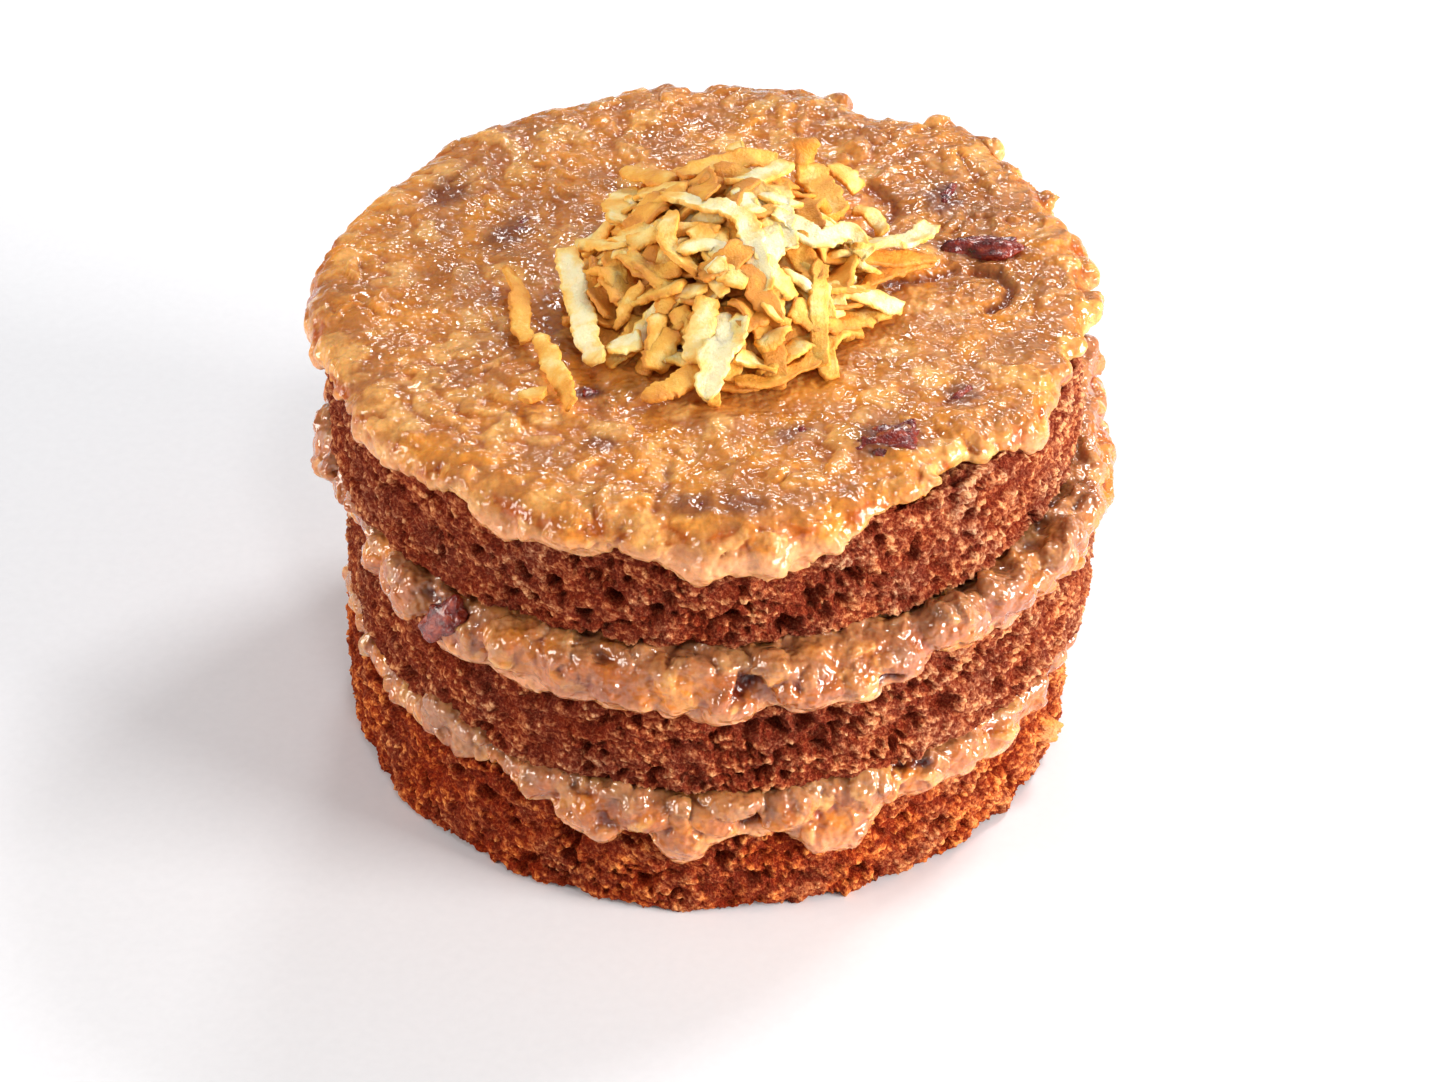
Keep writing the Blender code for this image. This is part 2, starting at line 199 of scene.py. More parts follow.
def remeshed(points, faces, voxel):
    """The outer skin of overlapping closed bodies, as (points, quads), by Blender's voxel remesh."""
    mesh = bpy.data.meshes.new("rough")
    mesh.from_pydata(points.tolist(), [], faces)
    rough = bpy.data.objects.new("rough", mesh)
    bpy.context.scene.collection.objects.link(rough)
    remesh = rough.modifiers.new("remesh", "REMESH")
    remesh.mode = "VOXEL"
    remesh.voxel_size = voxel
    skin = rough.evaluated_get(bpy.context.evaluated_depsgraph_get()).to_mesh()
    corners = np.empty(len(skin.loops), np.int32)
    skin.loops.foreach_get("vertex_index", corners)
    flat = np.empty(3 * len(skin.vertices), np.float32)
    skin.vertices.foreach_get("co", flat)
    bpy.data.objects.remove(rough, do_unlink=True)
    bpy.data.meshes.remove(mesh)
    return flat.reshape(-1, 3).astype(float), corners.reshape(-1, 4)


def ring_quads(rings, count, flipped=False):
    """Quads that join each ring of points to the next. Each ring closes on itself."""
    here = count * np.arange(rings - 1)[:, None] + np.arange(count)
    beside = np.roll(here, -1, axis=1)
    corners = [here, beside, beside + count, here + count]
    if not flipped:
        corners = [here, here + count, beside + count, beside]
    return np.stack(corners, axis=-1).reshape(-1, 4).tolist()


def closed_rings(rings, count):
    """The quads between rings of points, with a cap over the first ring and another over the last."""
    last = (rings - 1) * count
    return ring_quads(rings, count) + [list(range(count)), list(range(last + count - 1, last - 1, -1))]


def densely(path):
    """Twelve places along each stretch of a path."""
    return np.concatenate([np.linspace(a, b, 12) for a, b in zip(path[:-1], path[1:])])


def gathered(values, index, count):
    return np.stack([np.bincount(index, values[:, axis], count) for axis in range(3)], axis=-1)


def smoothed(points, quads, rounds, share=0.5):
    """Moves each point towards the middle of its neighbours."""
    count = len(points)
    start = quads.ravel()
    end = np.roll(quads, -1, axis=1).ravel()
    degree = (np.bincount(start, minlength=count) + np.bincount(end, minlength=count))[:, None]
    for _ in range(rounds):
        middle = (gathered(points[end], start, count) + gathered(points[start], end, count)) / degree
        points = points + share * (middle - points)
    return points


def normals_of(points, quads):
    across = points[quads[:, 2]] - points[quads[:, 0]]
    along = points[quads[:, 3]] - points[quads[:, 1]]
    facing = np.repeat(np.cross(across, along), 4, axis=0)
    summed = gathered(facing, quads.ravel(), len(points))
    return summed / np.maximum(np.linalg.norm(summed, axis=1, keepdims=True), 1e-9)


def with_caps(points, quads, patches):
    """Swaps each patch of hidden quads, given as a mask, for one face, and says which points are used."""
    count = len(points)
    hidden = np.zeros(len(quads), bool)
    caps = []
    for patch in patches:
        hidden |= patch
        start = quads[patch].ravel()
        end = np.roll(quads[patch], -1, axis=1).ravel()
        rim = ~np.isin(start * count + end, end * count + start)
        following = dict(zip(start[rim].tolist(), end[rim].tolist()))
        loops = []
        while following:
            loop = [next(iter(following))]
            while loop[-1] in following:
                loop.append(following.pop(loop[-1]))
            loops.append(loop[:-1])
        caps += [loop for loop in loops if len(loop) > 2]
    faces = quads[~hidden]
    used = np.zeros(count, bool)
    used[faces.ravel()] = True
    index = np.cumsum(used) - 1
    faces = index[faces].tolist() + [index[cap].tolist() for cap in caps]
    return used, faces


def unit_ball(subdivisions):
    shape = bmesh.new()
    bmesh.ops.create_icosphere(shape, subdivisions=subdivisions, radius=1.0)
    points = np.array([vertex.co[:] for vertex in shape.verts])
    faces = [[vertex.index for vertex in face.verts] for face in shape.faces]
    shape.free()
    return points, faces


BALL = unit_ball(3)


def blob(centre, axes, sizes):
    """A dented, slightly square-shouldered lump along three axes, as (points, faces)."""
    ball, faces = BALL
    local = np.sign(ball) * np.abs(ball) ** 0.8 * sizes
    placed = np.asarray(centre) + local @ np.asarray(axes)
    return placed + 0.16 * min(sizes) * three_lumps(placed, 2.2, 21), faces


def axes_from(normal, heading):
    """Three axes, as rows: along, across and out, for something lying on a surface with this normal."""
    normal = np.asarray(normal, float)
    normal = normal / np.linalg.norm(normal)
    level = np.cross((0, 0, 1), normal) if abs(normal[2]) < 0.9 else np.array((1.0, 0, 0))
    level = level - normal * (level @ normal)
    level = level / np.linalg.norm(level)
    other = np.cross(normal, level)
    along = level * math.cos(heading) + other * math.sin(heading)
    return np.array([along, np.cross(normal, along), normal])


# Sponge
def sponge_section(node):
    """Points round the side of a sponge, as rows of (radius from the edge, height, outward, upward)."""
    low, high = underside(node), sponge_top_of(node)
    rows = [(radius, high, 0.0, 1.0) for radius in np.arange(-6.5, -EDGE_ROUND, 0.6)]
    corner_steps = int(EDGE_ROUND * math.pi / 2 / SPONGE_GRID)
    for step in range(corner_steps + 1):
        turn = math.pi / 2 * (1 - step / corner_steps)
        out, up = math.cos(turn), math.sin(turn)
        rows.append((EDGE_ROUND * (out - 1), high + EDGE_ROUND * (up - 1), out, up))
    for height in np.arange(high - EDGE_ROUND - SPONGE_GRID, low + EDGE_ROUND, -SPONGE_GRID):
        rows.append((0.0, height, 1.0, 0.0))
    mirrored = [(radius, high + low - height, out, -up) for radius, height, out, up in rows if up > 0]
    return np.array(rows + mirrored[::-1])


# Deep holes and torn places in the sponge that the photo shows: angle, height, radius, depth. A clump that
# stands out has a depth below zero.
PORES = {
    "sponge_bottom": [(-126.1, 12.6, 1.6, 2.4), (-132.5, 14, 0.9, 1.5), (-172, 12.3, 2.6, 2),
                      (-118.5, 4, 1.3, 1.2), (-66.6, 4, 1.2, 1.2), (-121, 9.5, 1, 1.4),
                      (-100, 5.5, 1.4, 1.2), (-84, 6, 1.6, 1.2), (-112, 7.5, 1.1, 1.4),
                      (-140, 8, 1.1, 1.3), (-52, 6.5, 1.3, 1.2), (-38, 9, 1.2, 1.2),
                      (-24, 7.5, 2.2, -1.6), (-20, 4, 1.6, -1)],
    "sponge_middle": [(-55.1, 29.3, 2.2, 1.8), (-43.7, 27, 1.4, 1.6), (-60.5, 29.2, 1.2, 1.4),
                      (-90, 33.4, 1.7, 1.6), (-86, 32.8, 1.9, 1.8),
                      (-82, 32.4, 1.9, 1.7), (-78, 33, 1.7, 1.6), (-73, 33.6, 1.5, 1.4),
                      (-97, 30, 1.2, 1), (-110, 27.5, 1.1, 1), (-76, 28.5, 1.6, 1.2)],
    "sponge_top": [(-103, 53.4, 1.4, 1.6), (-107.6, 50.1, 1.2, 1.6), (-78.3, 48.6, 1.8, 2),
                   (-74, 52.5, 1.4, 1.6), (-112, 54, 1.2, 1.6), (-97, 52, 1.2, 1.4),
                   (-86, 51.5, 1.2, 1.4), (-58, 54.5, 1.2, 1.4), (-125, 55, 1.1, 1.4),
                   (-48, 57.5, 1.4, 1.4), (-138, 56, 1, 1.2)],
}


def sponge(node, seed, material):
    """A round of sponge: a grid round its side, pushed in and out by lumps, crumbs, torn pits and holes."""
    section = sponge_section(node)
    columns = int(2 * math.pi * SPONGE_RADII[node] / SPONGE_GRID)
    angles = np.linspace(0, 360, columns, endpoint=False)
    edge = np.array([sponge_edge(node, angle) for angle in angles])
    radius = (edge[None, :] + section[:, :1]).ravel()
    angle = np.tile(angles, len(section))
    height = np.repeat(section[:, 1], columns)
    points = round_the_cake(radius, angle, height)
    outward = round_the_cake(np.repeat(section[:, 2], columns), angle, np.repeat(section[:, 3], columns))

    flattened = (points + 0.5 * three_lumps(points, 1.2, seed)) * (1, 1, 1.3)
    coarse = 0.5 * lumps(points, 8.0, seed + 3) + 0.65 * lumps(flattened, 3.2, seed + 4)
    big, big_shade = grains(flattened, 1.05, seed + 5)
    small, small_shade = grains(flattened, 0.64, seed + 6)
    rough = smoothstep(-0.4, 0.45, lumps(flattened, 7.0, seed + 12))
    crumbs = 0.7 * (0.5 - big) * (0.5 + big_shade) * (0.45 + 0.9 * rough) + 0.55 * (0.5 - small)
    torn = smoothstep(0.15, 0.7, lumps(flattened, 2.4, seed + 7) + 0.6 * lumps(points, 1.1, seed + 8))
    torn = torn * (0.35 + 0.85 * rough)
    level = lumps(points * (0.4, 0.4, 1.0), 2.0, seed + 9) + 0.3 * lumps(points, 0.9, seed)
    cracks = smoothstep(0.25, 0.6, level) * (0.4 + 0.8 * rough)
    holes = np.zeros(len(points))
    for place, height_at, size, depth in PORES[node]:
        centre = round_the_cake(SPONGE_RADII[node], place, height_at)
        apart = np.linalg.norm((points - centre) * (1, 1, 1.2), axis=1) / size
        holes += depth * (1 - smoothstep(0.5, 1.3, apart + 0.35 * lumps(points, 1.2, seed + 2)))
    push = coarse + crumbs - 1.6 * torn - 1.2 * cracks - 1.4 * holes
    flat = smoothstep(-6.0, -3.0, np.repeat(section[:, 0], columns))
    points = points + outward * ((push - 0.25) * (0.15 + 0.85 * flat))[:, None]
    points[:, :2] += SPONGE_CENTRES[node]
    if node == "sponge_bottom":
        points[:, 2] = np.maximum(points[:, 2], 0.0)
    if node == "sponge_top":
        lift = (height - underside(node)) / TOP_THICKNESS
        points[:, 2] += lift * tilt_at(points[:, 0], points[:, 1])

    # Painted light and shade: the crumb is painted darker in torn places, cracks and holes and paler on
    # crumbs and lumps that stand out, besides each grain's own random colour
    crumb_shade_and_tone = 0.60 + 0.60 * crumbs - 0.42 * torn - 0.36 * cracks - 0.35 * holes + 0.16 * coarse
    crumb_shade_and_tone += 0.26 * (big_shade - 0.5) + 0.26 * (small_shade - 0.5)
    # Painted light: paler towards the right-hand side, where the strongest lamp falls
    crumb_shade_and_tone += 0.10 * smoothstep(0.45, 0.95, np.cos(np.radians(angle - LIT_SIDE))) - 0.02
    warmth = 0.5 + 0.5 * lumps(points, 7.0, seed + 1) + 0.6 * (big_shade - 0.5) + 0.4 * (small_shade - 0.5)
    unused = np.ones(len(points))
    look = np.stack([crumb_shade_and_tone, warmth, unused, unused], axis=-1)
    piece = make_piece(f"{node}_crumb", points, closed_rings(len(section), columns), material, look)
    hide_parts(node)
    return piece


# Rims. Each has a base and lobes, (angle, size, half width), for how far it stands out from the sponge under
# it and how far it hangs down over it. Lobes at the back are drawn at random, with the CAD model's seeds.
def random_lobes(seed, first, last, count, largest):
    rng = random.Random(seed)
    spacing = (last - first) / count
    return [
        (first + spacing * (i + rng.uniform(0.2, 0.8)), largest * rng.uniform(0.3, 1.0), rng.uniform(5, 10))
        for i in range(count)
    ]


UPPER_REACH = (0.6, [(-88, 2.6, 46), (-141, 1.6, 8), (-32, 1.2, 16), (181, 2.8, 13)]
               + random_lobes(seed=5, first=5, last=160, count=7, largest=3.0))
UPPER_HANG = (1.2, [(-146, 4.4, 6), (-131, 3.4, 6), (-118, 4.4, 7), (-104, 4, 6), (-91, 4.6, 6),
                    (-78, 3.8, 7), (-67, 3, 5), (-43, 2, 7), (-28, 1, 6), (180, 3, 10)]
              + random_lobes(seed=4, first=5, last=160, count=8, largest=4.5))
LOWER_REACH = (-0.4, [(-88, 2.8, 44), (-124, -1.2, 4), (-35, 1.0, 14), (-13, 1.2, 12)]
               + random_lobes(seed=6, first=20, last=150, count=6, largest=3.0))
LOWER_HANG = (0.8, [(-131, 1.5, 6), (-107.5, 5.4, 5), (-94.5, 7.6, 5), (-84, 3, 6), (-70, 8.4, 8),
                    (-55, 3.6, 8), (-40, 4, 9)]
              + random_lobes(seed=9, first=20, last=150, count=8, largest=6.5))
FROSTING_REACH = (1.7, [(-84, 1.9, 12), (-114, 1.2, 7), (-126, -0.8, 4), (-160, -0.9, 8), (-61, -1.6, 5),
                        (-48, -4.8, 7), (-17, -2.6, 8), (28, 1.8, 6), (48, 3.6, 6), (63, -2.4, 5),
                        (77, 1.2, 5), (98, 1.2, 5), (109, -0.6, 5), (130, 1.2, 8), (174, 1.9, 13),
                        (88, 1.9, 44)])
FROSTING_HANG = (1.3, [(-147, 1.6, 6), (-120, 4.4, 4), (-108, 2.8, 6), (-92, 4.2, 5), (-80, 4.6, 8),
                       (-36, 2.2, 5), (178, 2, 12)]
                 + random_lobes(seed=2, first=0, last=160, count=9, largest=2.6))


def along_rim(lobes, angle):
    base, bumps = lobes
    total = base
    for centre, size, half_width in bumps:
        apart = abs((angle - centre + 180.0) % 360.0 - 180.0) / half_width
        total += size * math.exp(-(apart**2.4))
    return total


def rim_shape(under, seat, reach, hang, ripple, angle):
    """Radius of the sponge's edge, width of the rim beyond it and its hang, at an angle."""
    place = Vector(round_the_cake(54.0, angle, seat))
    edge = sponge_edge(under, angle)
    width = along_rim(reach, angle) + ripple * noise.noise(place / 3.4)
    drop = along_rim(hang, angle) + 1.3 * ripple * noise.noise(place / 2.6 + Vector((5, 5, 5)))
    return edge, width, max(0.0, drop) * min(1.0, max(0.0, width - 0.7))


def beside_sponge(under, radius, angle, height):
    """A place at a radius from the middle of the sponge under a rim."""
    place = round_the_cake(radius, angle, height)
    place[:2] += SPONGE_CENTRES[under]
    return place


def rim_body(under, seat, profile, reach, hang, ripple, recess):
    """A closed body with the rim's shape, from a profile drawn for a rim of a nominal width and hang."""
    rows = len(profile)
    rings = []
    for step in range(RIM_STEPS):
        angle = 360.0 * step / RIM_STEPS
        edge, width, drop = rim_shape(under, seat, reach, hang, ripple, angle)
        width -= min(recess, 0.5 * max(0.0, width))
        for radius, height in profile:
            share = min(1.0, max(0.0, (radius - RIM_START) / (RIM_END - RIM_START)))
            out = min(1.0, max(0.0, (radius - RIM_SKIRT) / (RIM_END - RIM_SKIRT)))
            below = height < seat - 0.001 or (abs(radius - RIM_SKIRT) < 0.01 and abs(height - seat) < 0.001)
            if share > 0:
                radius = RIM_START + share * (edge + width - RIM_START)
            if below and width > GAP:
                radius = edge - 0.6 + out * (width + 0.6)
            if height < seat:
                height = seat - (seat - height) / RIM_HANG * drop
            rings.append(round_the_cake(radius, angle, height))
    top_centre, seat_centre = len(rings), len(rings) + 1
    points = np.array(rings + [(0, 0, profile[0][1]), (0, 0, seat)])
    points[:, :2] += SPONGE_CENTRES[under]
    faces = []
    for step in range(RIM_STEPS):
        here, there = step * rows, (step + 1) % RIM_STEPS * rows
        for row in range(rows - 1):
            faces.append([here + row, here + row + 1, there + row + 1, there + row])
        faces.append([top_centre, here, there])
        faces.append([seat_centre, there + rows - 1, here + rows - 1])
    return points, faces


def relief_look(points, quads, rounds):
    """How far each point stands out from the surface round it, from 0 in a dip to 1 on a ridge. The spreads'
    painted crease shade follows it.
    """
    inward = points - smoothed(points, quads, rounds)
    return 0.5 + (inward * normals_of(points, quads)).sum(-1)


def stamp_flakes(points, out, rng, where, sizes):
    """Flat coconut flakes lying in a surface: how far each point is raised, and how pale it is.

    sizes gives each flake's length, width, lift and paleness."""
    raised = np.zeros(len(points))
    pale = np.zeros(len(points))
    places = np.flatnonzero(where)
    ragged = lumps(points, 1.6, 91)
    for length, width, lift, paleness in sizes:
        place = places[rng.randrange(len(places))]
        middle = points[place]
        near = np.flatnonzero(np.abs(points - middle).max(axis=1) < 0.62 * length)
        local = (points[near] - middle) @ axes_from(out[place], rng.uniform(0, math.pi)).T
        along = local[:, 0] / (length / 2)
        across = (local[:, 1] + rng.uniform(-0.25, 0.25) * length * along**2) / (width / 2)
        apart = (np.abs(along) ** 3 + np.abs(across) ** 3) ** (1 / 3) + 0.22 * ragged[near]
        inside = (1 - smoothstep(0.75, 1.08, apart)) * (np.abs(local[:, 2]) < 2.0)
        height = lift * (1 + rng.uniform(-0.5, 0.5) * along + rng.uniform(-0.6, 0.6) * across) * inside
        raised[near] = np.where(np.abs(height) > np.abs(raised[near]), height, raised[near])
        pale[near] = np.where(inside > 0.3, inside * paleness, pale[near])
    return raised, pale


# The filling's lumps that the photo shows: angle, height, radius along the rim, and radius up and down
UPPER_LUMPS = [
    (-150, 42.5, 3.6, 3.8), (-141.2, 43, 3.8, 4.2), (-129.6, 40.6, 4.6, 4.8), (-120.1, 41.6, 3.4, 4),
    (-111.6, 41, 4.4, 4.6), (-103.4, 41, 4, 4), (-92.7, 42, 5.2, 3.6), (-89, 38.6, 3, 3),
    (-77.6, 41.4, 4.2, 4.6), (-70.2, 40, 3.2, 3.4), (-63.8, 41.6, 3.2, 4), (-54.9, 43.6, 4.4, 3.6),
    (-43.6, 43.4, 4.2, 3.8), (-31, 44, 4.2, 3.4), (-20, 43.4, 3.4, 2.8), (180, 42, 4.4, 4.6),
    (172, 44.5, 3, 2.6),
]
UPPER_HOLLOWS = [(-86.0, 42.4, 2.2), (-135.0, 44.2, 1.6), (-130.0, 44.6, 2.0), (-66.5, 39.6, 1.5)]
LOWER_LUMPS = [
    (-135.5, 23, 3.2, 2.4), (-128.5, 22.6, 2.6, 1.6), (-116.5, 20, 3, 2.6), (-109.5, 17.6, 3, 3.6),
    (-105.9, 14.8, 1.8, 2.4), (-99.9, 18.8, 3.2, 2.8), (-94, 14.6, 3, 3.8), (-86.5, 20.4, 3, 2),
    (-78.6, 18.4, 3.2, 3.6), (-70.6, 14, 4.4, 3.8), (-65, 18, 3.4, 3.4), (-55.5, 18, 3.6, 3.6),
    (-48.3, 18, 3.4, 4.2), (-40.1, 17.2, 3.6, 4.4), (-31.2, 18.6, 3.4, 4), (-22, 20.4, 3, 2.8),
]
LOWER_HOLLOWS = [(-57.8, 21.2, 2.0), (-84.0, 17.4, 1.6), (-109.0, 21.4, 1.5)]


def rim_lumps(lumps_shown, under, seat, reach, rng):
    """Lumps for the whole rim: those that the photo shows, then random ones for the sides and back."""
    wanted = list(lumps_shown)
    angle = -12.0
    while angle < 166.0:
        wanted.append((angle, seat + rng.uniform(-1.5, 1.5), rng.uniform(2.4, 4.6), rng.uniform(2.2, 3.8)))
        angle += rng.uniform(4.5, 8.0)
    made = []
    for angle, height, along, up in wanted:
        edge, width, _ = rim_shape(under, seat, reach, (0.0, []), 0.0, angle)
        depth = 1.6 + 0.35 * up
        out = edge + width + LUMP_STAND * rng.uniform(0.7, 1.3) - depth
        centre = beside_sponge(under, out, angle, height)
        outward = round_the_cake(1.0, angle, 0.15)
        made.append(blob(centre, axes_from(outward, rng.uniform(-0.3, 0.3)), (1.2 * along, 0.9 * up, depth)))
    return made


def filling(node, under, over, reach, hang, lumps_shown, hollows, seed, material):
    """A filling: its lumpy roll melted into one, then flaked with coconut, rippled and pitted."""
    rng = random.Random(seed)
    seat = sponge_top_of(under) + GAP
    top = underside(over) - GAP
    profile = [
        (RIM_START, top), (RIM_SKIRT, top), (53.4, top - 0.3), (54.4, top - 1.5),
        (54.7, (seat + top) / 2 - 0.4), (54.6, seat - 0.3 * RIM_HANG), (54.2, seat - 0.75 * RIM_HANG),
        (53.3, seat - RIM_HANG), (RIM_SKIRT, seat - 0.85 * RIM_HANG), (RIM_SKIRT, seat), (RIM_START, seat),
    ]
    bodies = [rim_body(under, seat, profile, reach, hang, ripple=0.9, recess=1.2)]
    bodies += rim_lumps(lumps_shown, under, seat, reach, rng)
    for _ in range(FILLING_BLOBS):
        angle = rng.uniform(-180, 180)
        edge, width, drop = rim_shape(under, seat, reach, hang, 0.0, angle)
        if width < 0.6:
            continue
        size = rng.uniform(0.9, 1.9)
        height = rng.uniform(seat - 0.9 * drop + size, top - 0.8)
        centre = beside_sponge(under, edge + width - 0.4 - 0.75 * size, angle, height)
        axes = axes_from(round_the_cake(1.0, angle, 0.2), rng.uniform(0, math.pi))
        bodies.append(blob(centre, axes, (1.5 * size, size, size)))
    points, quads = remeshed(*joined(bodies), FILLING_VOXEL)
    points = smoothed(points, quads, 9)
    out = normals_of(points, quads)
    # Painted shade: the pits carved below are painted near-black inside
    dark = np.zeros(len(points))
    for angle, height, size in hollows:
        edge, width, _ = rim_shape(under, seat, reach, hang, 0.0, angle)
        centre = beside_sponge(under, edge + width + 0.4, angle, height)
        apart = np.linalg.norm((points - centre) * (0.8, 0.8, 1.25), axis=1) / size
        apart += 0.5 * lumps(points, 1.8, seed + 3)
        dark = np.maximum(dark, 1 - smoothstep(0.75, 1.3, apart))
        points = points - out * (1.8 * (1 - smoothstep(0.3, 1.5, apart)))[:, None]
    points = smoothed(points, quads, 1)
    bare = np.hypot(points[:, 0], points[:, 1]) > 47.0
    sizes = [(rng.uniform(2.5, 7), rng.uniform(1.3, 3), rng.uniform(0.25, 0.8), rng.choice((0, 0, 0.4, 0.9)))
             for _ in range(FILLING_FLAKES)]
    raised, pale = stamp_flakes(points, out, rng, bare, sizes)
    lip = smoothstep(0.0, 2.6, seat - points[:, 2]) * smoothstep(0.0, 0.8, 0.35 - out[:, 2])
    ripple = 0.8 * lumps(points * (1, 1, 0.7), 4.2, seed) + 0.3 * lumps(points, 2.0, seed + 1)
    points = points + out * ((raised + ripple) * (1 - 0.65 * lip))[:, None]
    in_gap = np.where(points[:, 2] > (seat + top) / 2, top, seat)
    points[:, 2] = np.where(bare, points[:, 2], in_gap)

    relief = relief_look(points, quads, 30)
    # Partly painted shade: the spread is painted greyer and darker near the sponge above, which overhangs it,
    # partly its own greyer translucent look
    shaded_veil = smoothstep(-3.0, 0.6, points[:, 2] - top + 3.0 * lumps(points, 3.4, seed + 2))
    look = np.stack([relief, pale, dark, 0.5 + 0.5 * lip - 0.5 * shaded_veil], axis=-1)
    centres = points[quads].mean(axis=1)
    inside = np.hypot(centres[:, 0], centres[:, 1]) < HIDDEN_RADIUS
    upper = centres[:, 2] > (seat + top) / 2
    used, faces = with_caps(points, quads, [inside & upper, inside & ~upper])
    piece = make_piece(f"{node}_roll", points[used], faces, material, look[used])
    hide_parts(node)
    return piece


# Pecan pieces: x, y, length, width, heading in degrees, and how far they stand out of the frosting
PECANS = [
    (22.9, -34.3, 8.6, 5.8, 14, 0.6), (37, 9.7, 10.6, 4.4, -8, 0.9), (32.8, -24.1, 5, 3.6, 50, -0.6),
    (-36.1, 25, 6.5, 5, 70, -0.5), (-27.4, 15, 8.5, 4, 55, -0.5), (32.4, 22.5, 7, 4, 75, -0.5),
    (-2.5, -47.5, 6, 3, 5, -0.8), (4.4, -48, 4.5, 3, -10, -0.9), (10.4, -32.8, 4.5, 2.2, 35, -0.6),
    (-15.7, -23, 2.6, 1.6, 20, 0.1), (-14.2, -34.3, 4, 2.6, 10, -0.6),
]


# Creases in the frosting: places along them as (x, y), half width and depth
CREASES = [
    ([(35.6, 4.8), (38.8, 3.8), (40.4, 0.8), (39.8, -2.4), (37.6, -4.4)], 0.9, 1.0),
    ([(24.4, 2.0), (28.8, 3.0), (33.0, 4.6)], 1.1, 0.8),
    ([(-5.2, -38.5), (-5.6, -43.0), (-7.0, -48.0)], 0.8, 0.45),
    ([(22.5, 24.5), (25.0, 20.0), (22.5, 15.5)], 1.4, 0.6),
]


def pecans(material):
    """Broken pecan pieces: ridged chunks, most of them sunk in the frosting, and one in the upper filling."""
    ball, ball_faces = unit_ball(4)
    bodies = []
    for i, (x, y, length, width, heading, stand) in enumerate(PECANS):
        shape = np.sign(ball) * np.abs(ball) ** 0.6
        shape = shape * (length / 2, width / 2, 1.7)
        shape[:, 2] += 0.35 * np.cos(shape[:, 1] * 2.4) + 0.06 * shape[:, 0]
        shape = shape * (1 + 0.42 * lumps(shape + 40 * i, 2.4, 5) + 0.18 * lumps(shape, 1.0, 6))[:, None]
        ahead = round_the_cake(1.0, heading, 0.0)
        spin = np.array([ahead, (-ahead[1], ahead[0], 0.0), (0.0, 0.0, 1.0)])
        bodies.append((shape @ spin + (x, y, FROSTING_CREST + tilt_at(x, y) - 1.6 + stand), ball_faces))
    side = round_the_cake(52.9, -131.0, 42.4)
    axes = axes_from(round_the_cake(1.0, -131.0, 0.3), 0.8)
    chunk = np.sign(ball) * np.abs(ball) ** 0.6 * (3.4, 2.3, 1.7)
    chunk = chunk * (1 + 0.42 * lumps(chunk, 2.4, 9) + 0.2 * lumps(chunk, 1.0, 10))[:, None]
    bodies.append((side + chunk @ axes, ball_faces))
    points, faces = joined(bodies)
    return make_piece("pecan_pieces", points, faces, material)


